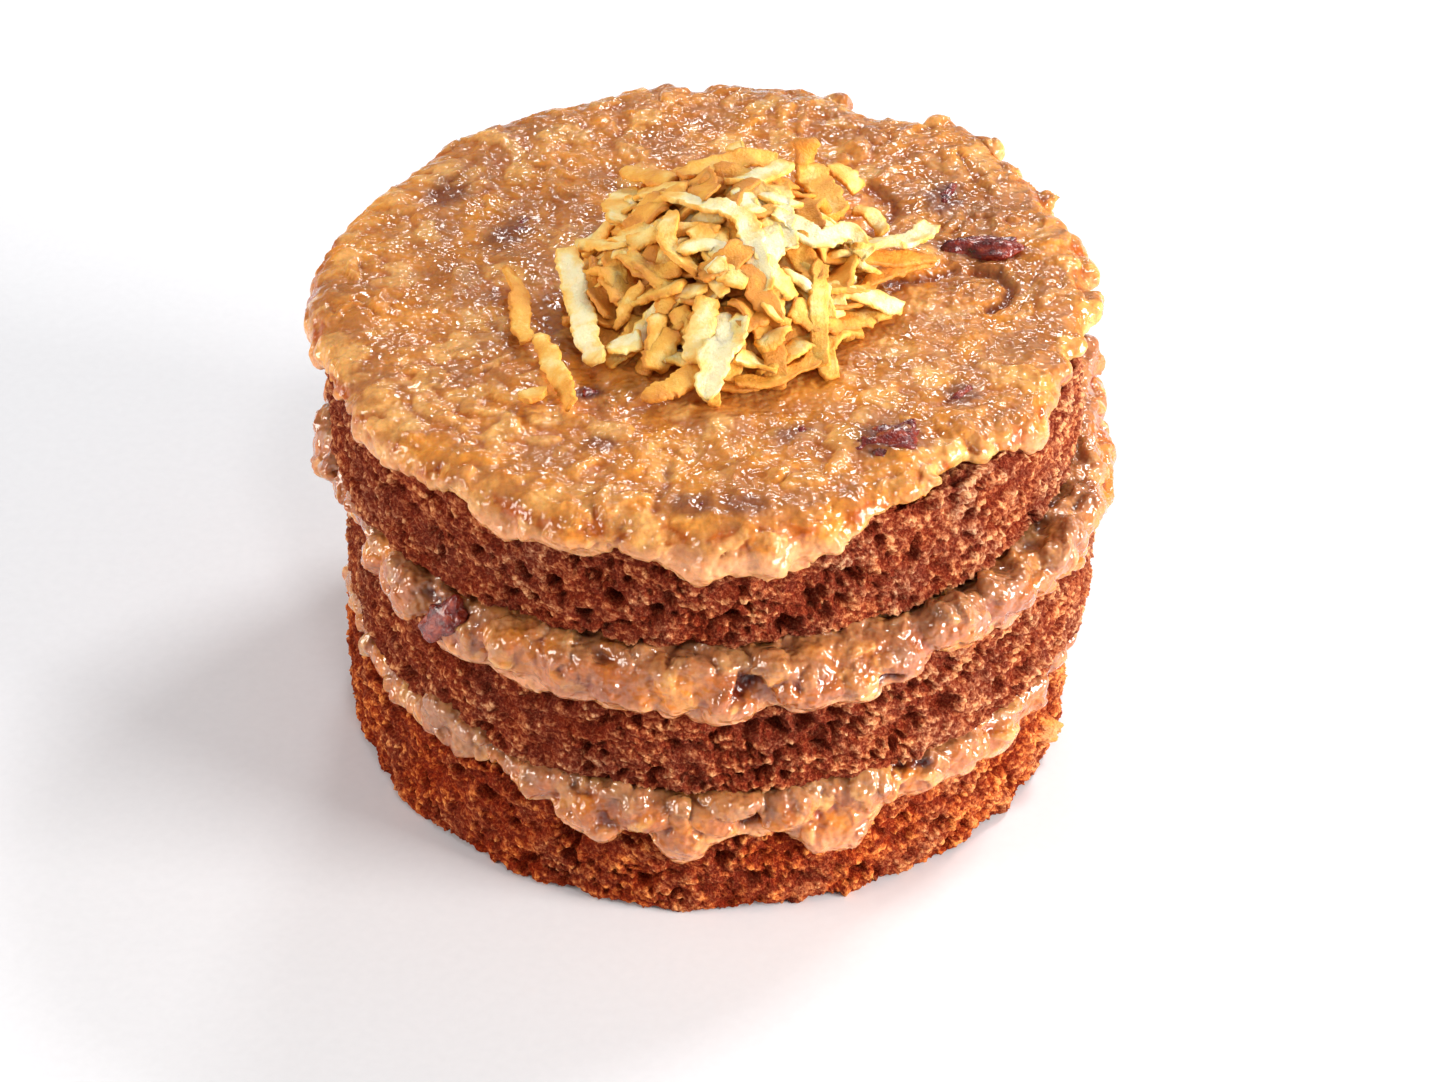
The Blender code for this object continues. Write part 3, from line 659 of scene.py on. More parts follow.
def frosting(material):
    """The frosted top: a layer full of coconut flakes, with a lobed rim that droops over the sponge."""
    rng = random.Random(FROSTING_SEED)
    seat = sponge_top_of("sponge_top") + GAP
    profile = [
        (RIM_START, FROSTING_CREST), (48.0, FROSTING_CREST), (51.0, FROSTING_CREST - 0.3),
        (53.4, FROSTING_CREST - 1.2), (54.6, seat + 0.2), (RIM_END, seat - 0.5 * RIM_HANG),
        (54.2, seat - RIM_HANG), (RIM_SKIRT, seat - 0.8 * RIM_HANG), (RIM_SKIRT, seat), (RIM_START, seat),
    ]
    bodies = [rim_body("sponge_top", seat, profile, FROSTING_REACH, FROSTING_HANG, ripple=1.1, recess=0.7)]
    for _ in range(FROSTING_BLOBS):
        angle = rng.uniform(-180, 180)
        edge, width, drop = rim_shape("sponge_top", seat, FROSTING_REACH, FROSTING_HANG, 0.0, angle)
        size = rng.uniform(0.9, 1.8)
        height = rng.uniform(seat - 0.8 * drop + 0.8 * size, FROSTING_CREST - 0.5 - size)
        centre = round_the_cake(edge + width - 1.0 * size, angle, height)
        axes = axes_from(round_the_cake(1.0, angle, 0.4), rng.uniform(-0.6, 0.6))
        bodies.append(blob(centre, axes, (1.6 * size, size, size)))
    points, quads = remeshed(*joined(bodies), FROSTING_VOXEL)
    points = smoothed(points, quads, 6)
    out = normals_of(points, quads)
    distance = np.hypot(points[:, 0], points[:, 1])
    upward = np.clip(out[:, 2], 0, 1)
    underneath = (out[:, 2] < -0.5) & (distance < 48)
    paleness = (0, 0, 0.25, 0.45, 0.7)
    sizes = [(rng.uniform(3, 8), rng.uniform(1.4, 3.0), rng.uniform(-0.2, 0.5), rng.choice(paleness))
             for _ in range(FROSTING_FLAKES)]
    for _ in range(FROSTING_CHUNKS):
        sizes.append((rng.uniform(4, 8), rng.uniform(3, 5), rng.uniform(0.1, 0.4), 1))
    raised, pale = stamp_flakes(points, out, rng, ~underneath & (distance > 12), sizes)
    lively = 0.35 + 0.65 * smoothstep(-0.5, 0.5, lumps(points, 12.0, 56) + (distance - 34) / 20)
    slack = 0.45 * lumps(points, 9.0, 50) + 0.3 * lumps(points, 4.5, 51)
    ripple = 0.2 * lumps(points, 2.4, 52) + 0.13 * lumps(points, 1.2, 53)
    crease = np.zeros(len(points))
    for places, half_width, depth in CREASES:
        near = np.flatnonzero(np.abs(points[:, :2] - np.mean(places, axis=0)).max(axis=1) < 9)
        apart = np.linalg.norm(points[near, None, :2] - densely(places)[None], axis=2).min(axis=1)
        groove = depth * (1 - smoothstep(0.2, 1.6, apart / half_width + 0.3 * lumps(points[near], 1.6, 57)))
        crease[near] = np.maximum(crease[near], groove * upward[near])
    points = points + out * ((raised + ripple) * lively + slack - crease)[:, None]
    points[:, 2] = np.where(underneath, seat, points[:, 2])
    points[:, 2] += tilt_at(points[:, 0], points[:, 1])

    relief = relief_look(points, quads, 30)
    nut_stain_and_shade = np.zeros(len(points))
    for x, y, length, width, heading, stand in PECANS:
        stain = min(1.0, 1.0 + 0.3 * stand)
        turn = math.radians(heading)
        dx, dy = points[:, 0] - x, points[:, 1] - y
        along = (dx * math.cos(turn) + dy * math.sin(turn)) / (length / 2 + 1.1)
        across = (dy * math.cos(turn) - dx * math.sin(turn)) / (width / 2 + 1.1)
        apart = np.hypot(along, across) + 0.3 * lumps(points, 2.0, 61)
        nut_stain_and_shade = np.maximum(nut_stain_and_shade, stain * (1 - smoothstep(0.4, 1.2, apart)) * upward)
    # Painted shade: the creases are painted darker, in the same channel as the pecan stains
    nut_stain_and_shade = np.maximum(nut_stain_and_shade, 0.6 * crease)
    level = points[:, 2] - tilt_at(points[:, 0], points[:, 1])
    lip = smoothstep(-0.2, 2.2, seat - level)
    side = smoothstep(seat - 0.5, seat + 0.6, level) * (1 - smoothstep(seat + 1, FROSTING_CREST - 0.6, level))
    # Painted shade: the relief is lowered in patches along the band just above the lip, so that the darker
    # crease colour falls there
    relief -= 0.6 * side * smoothstep(-0.4, 0.3, lumps(points, 3.5, 55))
    look = np.stack([relief, pale, nut_stain_and_shade, 0.5 + 0.5 * lip], axis=-1)
    centres = points[quads].mean(axis=1)
    below = centres[:, 2] - tilt_at(centres[:, 0], centres[:, 1]) < seat + 0.5
    hidden = below & (np.hypot(centres[:, 0], centres[:, 1]) < HIDDEN_RADIUS + 0.5)
    used, faces = with_caps(points, quads, [hidden])
    piece = make_piece("frosting_spread", points[used], faces, material, look[used])
    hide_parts("frosting_top")
    return piece


# Coconut heap. Shreds that the photo shows: points along them as (x, y, z), width, and toasting from 0 to 1
SHOWN_SHREDS = [
    ([(-19.4, 2.6, 71.8), (-17.3, -7.8, 70.6), (-14.8, -19.1, 68.9)], 3.5, 0.02),
    ([(-27, 3.2, 68.4), (-25.3, -6.1, 68.7), (-24.2, -14.1, 68.7)], 2.9, 0.44),
    ([(-22.6, -13, 68.8), (-20.3, -20.9, 68.8), (-18.2, -28.1, 68.4)], 2.9, 0.36),
    ([(-24.6, -26.9, 68.5), (-21.4, -25.6, 68.8)], 3.4, 0.3),
    ([(-17.5, 4.9, 71.5), (-14.5, 1.6, 73.4), (-10.9, -1.3, 75.4)], 2.6, 0.2),
    ([(-6.4, 5.5, 78.1), (-0.3, 2.2, 79.5), (4.4, -0.9, 79.3), (5.8, -6.6, 78.3), (7.6, -13, 75.6)],
     3.2, 0.03),
    ([(-3.8, -6.3, 77.9), (-1, -5.2, 78.6), (1.3, -5.9, 78.6), (-0.2, -10.4, 77.2), (2, -13.2, 76.2)],
     2.6, 0.06),
    ([(-10.9, -1, 75.2), (-6.4, -0.9, 77.5), (-1.1, -0.5, 78.6), (1.3, -1.3, 78.6)], 3.2, 0.28),
    ([(-10.1, -2.4, 75.3), (-7.8, -6.9, 75.6), (-5.5, -11.3, 74.9), (-6.7, -14, 73.1)], 3.4, 0.42),
    ([(-13, 0.2, 73.6), (-12.1, -5.9, 73.4), (-11.2, -10, 72.4)], 4.6, 0.55),
    ([(-11.4, 17.4, 72), (-12, 11.5, 73.2), (-12.3, 6.1, 73.7)], 4.2, 0.22),
    ([(-11.5, 20.6, 73), (-8.4, 17, 74.6), (-4.9, 13.8, 75.8)], 3.6, 0.35),
    ([(-3.4, 12.6, 76.9), (1.3, 15.9, 76.4), (5.2, 17.5, 76.5), (9.3, 17.5, 75.8)], 3.6, 0.42),
    ([(2, 9.1, 78.6), (7.4, 11.2, 77.8), (10.5, 14.5, 78)], 3.2, 0.2),
    ([(2.1, 21.4, 75.4), (5, 21.8, 75.5)], 3.8, 0.06),
    ([(13.2, 18.5, 73.2), (13.3, 19.3, 75.6), (13.1, 20, 78)], 3.2, 0.62),
    ([(9, 9.8, 77.6), (9.7, 1.6, 78.4), (10.4, -4.5, 77.3)], 3.4, 0.1),
    ([(13.3, 19.4, 74.2), (15.9, 12.7, 73.6), (16.7, 8.1, 73.4)], 4.4, 0.36),
    ([(16.5, 22.5, 72.2), (18.5, 21, 71.4), (20.3, 19.4, 70.2)], 3.6, 0.28),
    ([(19.5, 16.5, 69.6), (22.2, 15.5, 69.2), (23.7, 11.9, 68.2)], 2.4, 0.3),
    ([(8.5, 1, 78.6), (11.3, 0.1, 77.6), (14.5, -3.4, 77), (19, 0.9, 76), (21, -1.9, 74.2)], 3.4, 0.02),
    ([(19, -1.6, 75.2), (23, 1.2, 74), (26.7, 3.1, 72.4), (29.8, 8.2, 71.4)], 3.3, 0.05),
    ([(14, -2.4, 74), (19, -0.6, 73), (25.5, 1.8, 71), (30.6, 3.9, 69.2)], 3, 0.62),
    ([(20.5, -3.2, 69.9), (24.6, 1.4, 69.4), (30, 4.4, 68.7)], 2.2, 0.58),
    ([(13.5, -7.9, 73.4), (20, -7, 71.4), (26, -5.9, 68.8)], 3, 0.06),
    ([(14.6, -5.6, 75.2), (14.1, -11.4, 73.6), (14.5, -15.7, 71), (15.3, -19.6, 68.8)], 2.8, 0.3),
    ([(10.3, -16.1, 72.5), (8.4, -17.4, 72.2), (6.2, -19.3, 71.5)], 3.8, 0.26),
    ([(3.4, -23.6, 68.8), (7, -23.9, 68.8), (12.6, -20, 69), (15.2, -15.6, 70.2)], 2.4, 0.5),
    ([(7.3, -12.2, 75.6), (8.3, -14, 74.6), (9.2, -15.8, 73.3)], 3.4, 0.32),
    ([(3.2, -16.7, 73.5), (7, -14.9, 74)], 5, 0.72),
    ([(4.6, -16.1, 74.2), (1.6, -20.1, 71.8), (-0.8, -26.6, 68.7)], 4.4, 0.04),
    ([(3.6, -20.4, 71.1), (8.7, -22, 69.2)], 3.4, 0.06),
    ([(-5.5, -16.4, 72.4), (-6.2, -18.8, 70.8), (-6.8, -20.9, 69)], 4.4, 0.44),
    ([(0.3, -13.8, 75.4), (-1.3, -17.4, 73.2), (-1.7, -21.2, 70.4)], 3.4, 0.2),
    ([(-8.6, -27, 68.7), (-4.5, -24.6, 69.4), (-0.6, -21.8, 69.8)], 4.2, 0.48),
    ([(-13.6, -17.2, 69.6), (-9.5, -16.5, 70.9)], 4.2, 0.08),
    ([(15.6, -12.2, 71.4), (16.9, -13.6, 70)], 3.2, 0.5),
    ([(6.6, -7.9, 77.4), (8.8, -10.2, 76.2), (10.6, -12.5, 74.5)], 3.4, 0.12),
    ([(0.4, -9.9, 78.2), (2.6, -11.3, 77.8), (5, -11.9, 77.1)], 3.2, 0.12),
    ([(3.3, 5.6, 79.5), (7.3, 1, 79.1)], 4.2, 0.02),
    ([(-14.8, 0.2, 71.8), (-15, -6.6, 70.4)], 4.4, 0.66),
    ([(-16.7, -4.5, 69.4), (-13, -12.5, 69.9)], 4.4, 0.72),
]
SHRED_THICKNESS = 0.75
# Painted shade: the core under the shreds is painted a deep toasted brown, darker for the shade in the heap's
# deep gaps
CORE_TOAST_AND_SHADE = 0.85


def heap_height(x, y):
    """Height of the heap's envelope above the frosting, in millimetres. It is highest behind its centre."""
    apart = np.hypot((x - HEAP_CENTRE[0]) / HEAP_RADII[0], (y - HEAP_CENTRE[1]) / HEAP_RADII[1])
    lean = 1.0 + 0.2 * (y - HEAP_CENTRE[1]) / HEAP_RADII[1]
    return HEAP_RISE * lean * np.maximum(0.0, 1.0 - apart**2.6)


def shred(path, width, toast, seed):
    """A coconut shred along a path: a torn and crumpled ribbon, as (points, faces, toasting)."""
    rng = random.Random(seed)

    # Its middle line, with its side and its up at each step
    path = np.asarray(path, float)
    gone = np.concatenate([[0], np.cumsum(np.linalg.norm(np.diff(path, axis=0), axis=1))])
    steps = max(8, int(gone[-1] / 0.4))
    even = np.linspace(0, gone[-1], steps + 1)
    line = np.stack([np.interp(even, gone, path[:, axis]) for axis in range(3)], axis=-1)
    for _ in range(10):
        line[1:-1] = (line[:-2] + 2 * line[1:-1] + line[2:]) / 4
    place = line + 37.0 * (seed % 61)
    line = line + three_lumps(place, 4.5, 71) * (0.6, 0.6, 0.45)
    forward = np.gradient(line, axis=0)
    forward = forward / np.linalg.norm(forward, axis=1, keepdims=True)
    side = np.cross((0, 0, 1), forward)
    side = side / np.maximum(np.linalg.norm(side, axis=1, keepdims=True), 1e-6)
    up = np.cross(forward, side)
    share = np.linspace(-1, 1, steps + 1)
    roll = (rng.uniform(-0.35, 0.35) + rng.uniform(-0.6, 0.6) * share + 0.35 * lumps(place, 6.0, 75))[:, None]
    side, up = side * np.cos(roll) + up * np.sin(roll), up * np.cos(roll) - side * np.sin(roll)

    # Its rings, which taper, fray, cup and crumple
    corners = np.arange(12) * 2 * math.pi / 12
    flat_x = np.sign(np.cos(corners)) * np.abs(np.cos(corners)) ** 0.4
    flat_z = np.sign(np.sin(corners)) * np.abs(np.sin(corners)) ** 0.4
    sharp = rng.choice((3, 8, 16))
    taper = 1 - rng.uniform(0.15, 0.35 + 1.2 / sharp) * np.abs(share) ** sharp
    halves = []
    for shift in (0.0, 50.0):
        ragged = 0.24 * lumps(place + shift, 2.8, 76) + 0.14 * lumps(place + shift, 1.2, 77)
        ragged += 0.22 * lumps(place + shift, 0.5, 79)
        halves.append(width / 2 * taper * (1 + ragged))
    reach = np.where(flat_x[None, :] > 0, halves[0][:, None], halves[1][:, None])[:, :, None]
    thick = SHRED_THICKNESS / 2 * rng.uniform(0.75, 1.3)
    cup = rng.uniform(-0.3, 0.3) * width
    rings = line[:, None, :] + side[:, None, :] * flat_x[None, :, None] * reach
    rings = rings + up[:, None, :] * (flat_z * thick + cup * flat_x**2 * 0.5)[None, :, None]
    torn = 0.5 * np.sign(share) * np.abs(share) ** 8
    level = np.zeros(len(corners))
    fray = lumps(np.stack([flat_x * 3 + 9 * (seed % 53), level, level], axis=-1), 1.0, 78)
    rings = rings + forward[:, None, :] * torn[:, None, None] * fray[None, :, None] * 2.0
    rings = rings.reshape(-1, 3)
    rings = rings + (0.17 * three_lumps(rings, 1.7, 80) + 0.10 * three_lumps(rings, 0.75, 84))
    count = len(corners)
    first, last = rings[:count].mean(0), rings[-count:].mean(0)
    points = np.concatenate([rings, [first - 0.1 * forward[0], last + 0.1 * forward[-1]]])
    faces = ring_quads(steps + 1, count, flipped=True)
    start, end = len(rings), len(rings) + 1
    tail = steps * count
    faces += [[start, (a + 1) % count, a] for a in range(count)]
    faces += [[end, tail + a, tail + (a + 1) % count] for a in range(count)]

    # Its toasting, which is deeper at its edges and ends and runs in streaks along it
    edges = np.tile(np.abs(flat_x) ** 4, steps + 1)
    ends = np.repeat(np.abs(share) ** 8, count)
    streaks = np.tile(2.5 * flat_x, steps + 1) + 7 * seed
    strand = np.stack([streaks, np.repeat(even / 4, count), np.zeros(len(edges))], axis=-1)
    browned = toast - 0.02 + 0.28 * edges + 0.2 * ends + 0.22 * lumps(strand, 1.0, 90)
    browned += 0.28 * lumps(rings, 4.5, 88) + 0.16 * lumps(rings, 1.4, 89)
    browned = np.concatenate([browned, [toast + 0.2, toast + 0.2]])
    return points, faces, browned


def draped(levels, ground):
    """Heights of a shred that lies taut over the ground: its highest points joined by straight lines."""
    top = ground.copy()
    for i in range(len(levels)):
        for j in range(i + 1, len(levels)):
            share = (levels[i:j + 1] - levels[i]) / (levels[j] - levels[i])
            top[i:j + 1] = np.maximum(top[i:j + 1], ground[i] + share * (ground[j] - ground[i]))
    return top


def coconut_heap(material):
    """The heap: loose shreds dropped one by one on a low core, then those that the photo shows."""
    rng = random.Random(HEAP_SEED)
    cell = 0.5
    half = 70
    axis = (np.arange(2 * half + 1) - half) * cell
    grid_x, grid_y = np.meshgrid(axis, axis, indexing="ij")
    ground = FROSTING_CREST + 0.2 + tilt_at(grid_x, grid_y)
    pile = ground + np.maximum(0, heap_height(grid_x, grid_y) - 3.6)

    def cells_of(points):
        return tuple(np.clip(np.rint(points[:, i] / cell).astype(int) + half, 0, 2 * half) for i in (0, 1))

    def lie(path, width):
        """Raises the pile where a shred lies."""
        dense = densely(path)
        for spread in np.linspace(-0.35, 0.35, 5) * width:
            for turn in ((spread, 0, 0), (0, spread, 0)):
                where = cells_of(dense + turn)
                pile[where] = np.maximum(pile[where], dense[:, 2] + SHRED_THICKNESS * 0.4)

    shreds = []
    tries = 0
    while len(shreds) < LOOSE_SHREDS and tries < MOST_TRIES:
        tries += 1
        length = rng.uniform(5, 13)
        width = rng.uniform(2.2, 4.2)
        out = math.sqrt(rng.random())
        place = rng.uniform(0, 2 * math.pi)
        x, y = HEAP_CENTRE + 0.98 * HEAP_RADII * (out * math.cos(place), out * math.sin(place))
        levels = np.linspace(-length / 2, length / 2, 9)
        turns = rng.uniform(0, math.pi) + rng.uniform(-0.09, 0.09) * levels
        path = np.stack([x + levels * np.cos(turns), y + levels * np.sin(turns), 0 * levels], axis=-1)
        path[:, 2] = draped(levels, pile[cells_of(path)]) + SHRED_THICKNESS * 0.55
        path[:, 2] += rng.uniform(0, 1.6) * (levels / length + 0.5) ** 2
        above = path[:, 2] - FROSTING_CREST - tilt_at(path[:, 0], path[:, 1])
        if np.any(above > heap_height(path[:, 0], path[:, 1]) + 1.5):
            continue
        toast = rng.choice((0.05, 0.2, 0.3, 0.4, 0.5, 0.6, 0.72)) + rng.uniform(-0.08, 0.08)
        shreds.append(shred(path, width, toast, 1000 + tries))
        lie(path, width)
    for i, (path, width, toast) in enumerate(SHOWN_SHREDS):
        shreds.append(shred(path, width, toast, i))

    rings, turns = 30, 96
    core_radius = np.repeat(np.linspace(0.02, 0.94, rings), turns)
    core_angle = np.tile(np.linspace(0, 360, turns, endpoint=False), rings)
    dome = round_the_cake(core_radius, core_angle, 0.0)
    dome[:, :2] = HEAP_CENTRE + dome[:, :2] * HEAP_RADII
    rise = np.maximum(0, heap_height(dome[:, 0], dome[:, 1]) - 3.2)
    dome[:, 2] = FROSTING_CREST - 0.3 + tilt_at(dome[:, 0], dome[:, 1]) + rise
    dome[:, 2] += 1.2 * lumps(dome, 2.6, 80) * smoothstep(0.0, 2.0, rise)
    parts = [(points, faces) for points, faces, _ in shreds] + [(dome, closed_rings(rings, turns))]
    points, faces = joined(parts)
    toasting = np.concatenate([toast for _, _, toast in shreds] + [np.full(len(dome), CORE_TOAST_AND_SHADE)])
    look = np.stack([toasting, toasting, toasting, np.ones(len(points))], axis=-1)
    piece = make_piece("coconut_shreds", points, faces, material, look)
    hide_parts("coconut_heap")
    return piece


# Materials
class Surface:
    """A material with nodes, and short ways to add them. A value is a node's output, a number or a colour."""

    def __init__(self, name, roughness):
        self.material = bpy.data.materials.new(name)
        self.material.use_nodes = True
        self.tree = self.material.node_tree
        self.shader = self.tree.nodes["Principled BSDF"].inputs
        self.shader["Roughness"].default_value = roughness
        self.place = self.node("ShaderNodeTexCoord").outputs["Object"]

    def put(self, value, socket):
        """Links an output to a socket, or sets a constant on it."""
        if isinstance(value, bpy.types.NodeSocket):
            self.tree.links.new(value, socket)
        elif socket.type == "RGBA":
            socket.default_value = (*value, 1)
        else:
            socket.default_value = value

    def node(self, kind, *inputs, **settings):
        """Adds a node with its settings and its inputs, each (name or number, value)."""
        added = self.tree.nodes.new(kind)
        for key, value in settings.items():
            setattr(added, key, value)
        for key, value in inputs:
            self.put(value, added.inputs[key])
        return added

    def look(self):
        """The four channels of the piece's colour attribute."""
        colours = self.node("ShaderNodeAttribute", attribute_name="look").outputs
        parts = self.node("ShaderNodeSeparateColor", (0, colours["Color"])).outputs
        return parts[0], parts[1], parts[2], colours["Alpha"]

    def noise(self, size, detail=3.0, rough=0.6):
        """Noise with features of a size in millimetres."""
        inputs = ("Vector", self.place), ("Scale", 1 / (size * MM)), ("Detail", detail), ("Roughness", rough)
        return self.node("ShaderNodeTexNoise", *inputs).outputs["Fac"]

    def ramp(self, value, *stops):
        """A colour ramp with stops as (position, colour)."""
        colours = self.node("ShaderNodeValToRGB", ("Fac", value))
        elements = colours.color_ramp.elements
        elements[0].position, elements[1].position = stops[0][0], stops[-1][0]
        elements[0].color, elements[1].color = (*stops[0][1], 1), (*stops[-1][1], 1)
        for position, colour in stops[1:-1]:
            elements.new(position).color = (*colour, 1)
        return colours.outputs["Color"]

    def grey_ramp(self, value, first, last):
        """A ramp between two greys, each (position, level)."""
        return self.ramp(value, *((position, (level,) * 3) for position, level in (first, last)))

    def blend(self, amount, first, second, mode="MIX"):
        """Mixes two colours by an amount."""
        inputs = (0, amount), (6, first), (7, second)
        return self.node("ShaderNodeMix", *inputs, data_type="RGBA", blend_type=mode).outputs[2]

    def arithmetic(self, operation, first, second):
        """One Math node, its result kept from 0 to 1."""
        inputs = (0, first), (1, second)
        return self.node("ShaderNodeMath", *inputs, operation=operation, use_clamp=True).outputs[0]

    def bumps(self, *layers):
        """Chains bump nodes, each (height, distance in millimetres), into the shader's normal."""
        normal = None
        for height, distance in layers:
            inputs = [("Strength", 1.0), ("Distance", distance * MM), ("Height", height)]
            if normal:
                inputs.append(("Normal", normal))
            normal = self.node("ShaderNodeBump", *inputs).outputs["Normal"]
        self.put(normal, self.shader["Normal"])
        return normal

    def finished(self, colour, **constants):
        """Sets the base colour and the shader's constants, named with _ for a space: the material."""
        self.put(colour, self.shader["Base Color"])
        for name, value in constants.items():
            self.shader[name.replace("_", " ")].default_value = value
        return self.material


def sponge_material(name, warm, painted_glow):
    """Dry chocolate crumb, with painted light and shade: darker red-brown in its pits, cracks and torn places
    and paler on grains that stand out, with warm patches, and a painted warm glow where asked.
    """
    surface = Surface(name, 0.8)
    crumb_shade_and_tone, warmth, _, _ = surface.look()
    fine = surface.noise(0.42, rough=0.65)
    shade = surface.arithmetic("SUBTRACT", crumb_shade_and_tone, 0.51)
    shade = surface.arithmetic("ADD", shade, surface.arithmetic("MULTIPLY", fine, 0.9))
    colour = surface.ramp(
        shade, (0.05, (0.012, 0.0006, 0.0003)), (0.27, (0.075, 0.004, 0.0015)), (0.48, (0.195, 0.026, 0.009)),
        (0.68, (0.40, 0.128, 0.054)), (0.88, (0.74, 0.40, 0.20)),
    )
    mauve = surface.arithmetic("SUBTRACT", 0.8, warmth)
    colour = surface.blend(mauve, colour, (0.80, 0.98, 1.3), "MULTIPLY")
    # A tint by the warm patches, plus a constant glow, which is painted light
    tint = surface.arithmetic("ADD", surface.arithmetic("MULTIPLY", warmth, warm), painted_glow)
    colour = surface.blend(tint, colour, (1.25, 0.78, 0.38), "MULTIPLY")
    surface.bumps((fine, 0.5))
    return surface.finished(colour, Specular_IOR_Level=0.06)


def spread_material(name, colours, relief_height, gloss):
    """Cooked sugar spread: translucent and glossy, with pale shreds, painted amber shade in its dips and
    creases, pecan stains, near-black painted shade in its pits and grooves, and a pale lip.

    The alpha of look runs from 0, where the spread is greyer and darker, partly as painted shade under the
    sponge above it, by 0.5 to 1, on its lip."""
    surface = Surface(name, 0.3)
    relief, pale, nut_stain_and_shade, edge = surface.look()
    lip = surface.grey_ramp(edge, (0.5, 0), (1.0, 0.75))
    shaded_veil = surface.grey_ramp(edge, (0.0, 0.65), (0.5, 0))
    fine = surface.noise(0.7, 4.0, 0.65)
    dents = surface.noise(1.7, 1.0, 0.5)
    beads = surface.noise(0.8, 0.0, 0.5)
    calm = surface.noise(4.0, 2.0)
    patches = surface.noise(7.0, 4.0)
    mottle = surface.noise(2.4)

    body = surface.ramp(patches, (0.36, colours["deep"]), (0.5, colours["body"]), (0.64, colours["bright"]))
    worn = surface.grey_ramp(mottle, (0.35, 0.25), (0.6, 1))
    shreds = surface.arithmetic("MULTIPLY", surface.arithmetic("MULTIPLY", pale, worn), 0.85)
    # Painted shade: dips and creases are painted a darker, redder amber
    crease_shade = surface.grey_ramp(relief, (0.15, 1), (0.48, 0))
    masks = {"crease_shade": crease_shade, "shred": shreds, "lip": lip, "shaded_veil": shaded_veil, "stain_and_shade": nut_stain_and_shade}
    for key, mask in masks.items():
        body = surface.blend(mask, body, colours[key])
    speck = surface.grey_ramp(fine, (0.35, 0.86), (0.62, 1.06))
    body = surface.blend(1.0, body, speck, "MULTIPLY")
    rough = surface.grey_ramp(calm, (0.40, 0.13), (0.60, 0.62 - 0.3 * gloss))
    surface.put(rough, surface.shader["Roughness"])
    normal = surface.bumps((dents, relief_height), (beads, 0.33 * relief_height))
    surface.put(normal, surface.shader["Coat Normal"])
    return surface.finished(
        body, Subsurface_Weight=0.5, Subsurface_Radius=(1.0, 0.45, 0.15), Subsurface_Scale=2.0 * MM,
        Coat_Weight=gloss, Coat_Roughness=0.06, IOR=1.4,
    )


FROSTING_COLOURS = {
    "deep": (0.43, 0.155, 0.038), "body": (0.53, 0.19, 0.036), "bright": (0.73, 0.275, 0.038),
    "crease_shade": (0.45, 0.10, 0.008), "shred": (0.87, 0.46, 0.14), "lip": (0.80, 0.36, 0.16),
    "shaded_veil": (0.36, 0.19, 0.10), "stain_and_shade": (0.19, 0.05, 0.022),
}
FILLING_COLOURS = {
    "deep": (0.36, 0.105, 0.032), "body": (0.48, 0.14, 0.028), "bright": (0.70, 0.235, 0.028),
    "crease_shade": (0.30, 0.042, 0.004), "shred": (0.88, 0.47, 0.14), "lip": (0.82, 0.34, 0.14),
    "shaded_veil": (0.36, 0.165, 0.078), "stain_and_shade": (0.11, 0.012, 0.004),
}


def pecan_material():
    """Glazed pecan skin: dark red-brown, in ridges, wet with syrup."""
    surface = Surface("pecan_skin", 0.25)
    colour = surface.ramp(
        surface.noise(1.4, 4.0), (0.3, (0.045, 0.004, 0.003)), (0.5, (0.19, 0.012, 0.006)),
        (0.7, (0.42, 0.06, 0.018)),
    )
    surface.bumps((surface.noise(0.6), 0.3))
    return surface.finished(colour, Coat_Weight=0.5, Coat_Roughness=0.1)


def coconut_material():
    """Toasted coconut: cream to gold to brown by its toasting, fibrous and slightly translucent."""
    surface = Surface("toasted_coconut", 0.55)
    toasting = surface.look()[0]
    mottle = surface.noise(1.3, 4.0, 0.7)
    fibres = surface.noise(0.4, 3.0, 0.65)
    toast = surface.arithmetic("ADD", toasting, surface.arithmetic("MULTIPLY", mottle, 0.5))
    toast = surface.arithmetic("SUBTRACT", toast, 0.25)
    colour = surface.ramp(
        toast, (0.0, (0.98, 0.85, 0.52)), (0.16, (0.97, 0.71, 0.25)), (0.38, (0.92, 0.48, 0.075)),
        (0.62, (0.80, 0.33, 0.035)), (1.0, (0.42, 0.11, 0.012)),
    )
    surface.bumps((fibres, 0.2), (mottle, 0.3))
    return surface.finished(
        colour, Subsurface_Weight=0.3, Subsurface_Radius=(1.0, 0.65, 0.3), Subsurface_Scale=1.0 * MM,
    )


def floor_material():
    """Plain pale studio paper, with a grain too fine to see from here."""
    surface = Surface("studio_paper", 0.7)
    fibre = surface.noise(1.5, 2.0)
    colour = surface.ramp(fibre, (0.3, (0.84, 0.855, 0.90)), (0.7, (0.86, 0.875, 0.92)))
    return surface.finished(colour, Specular_IOR_Level=0.2)


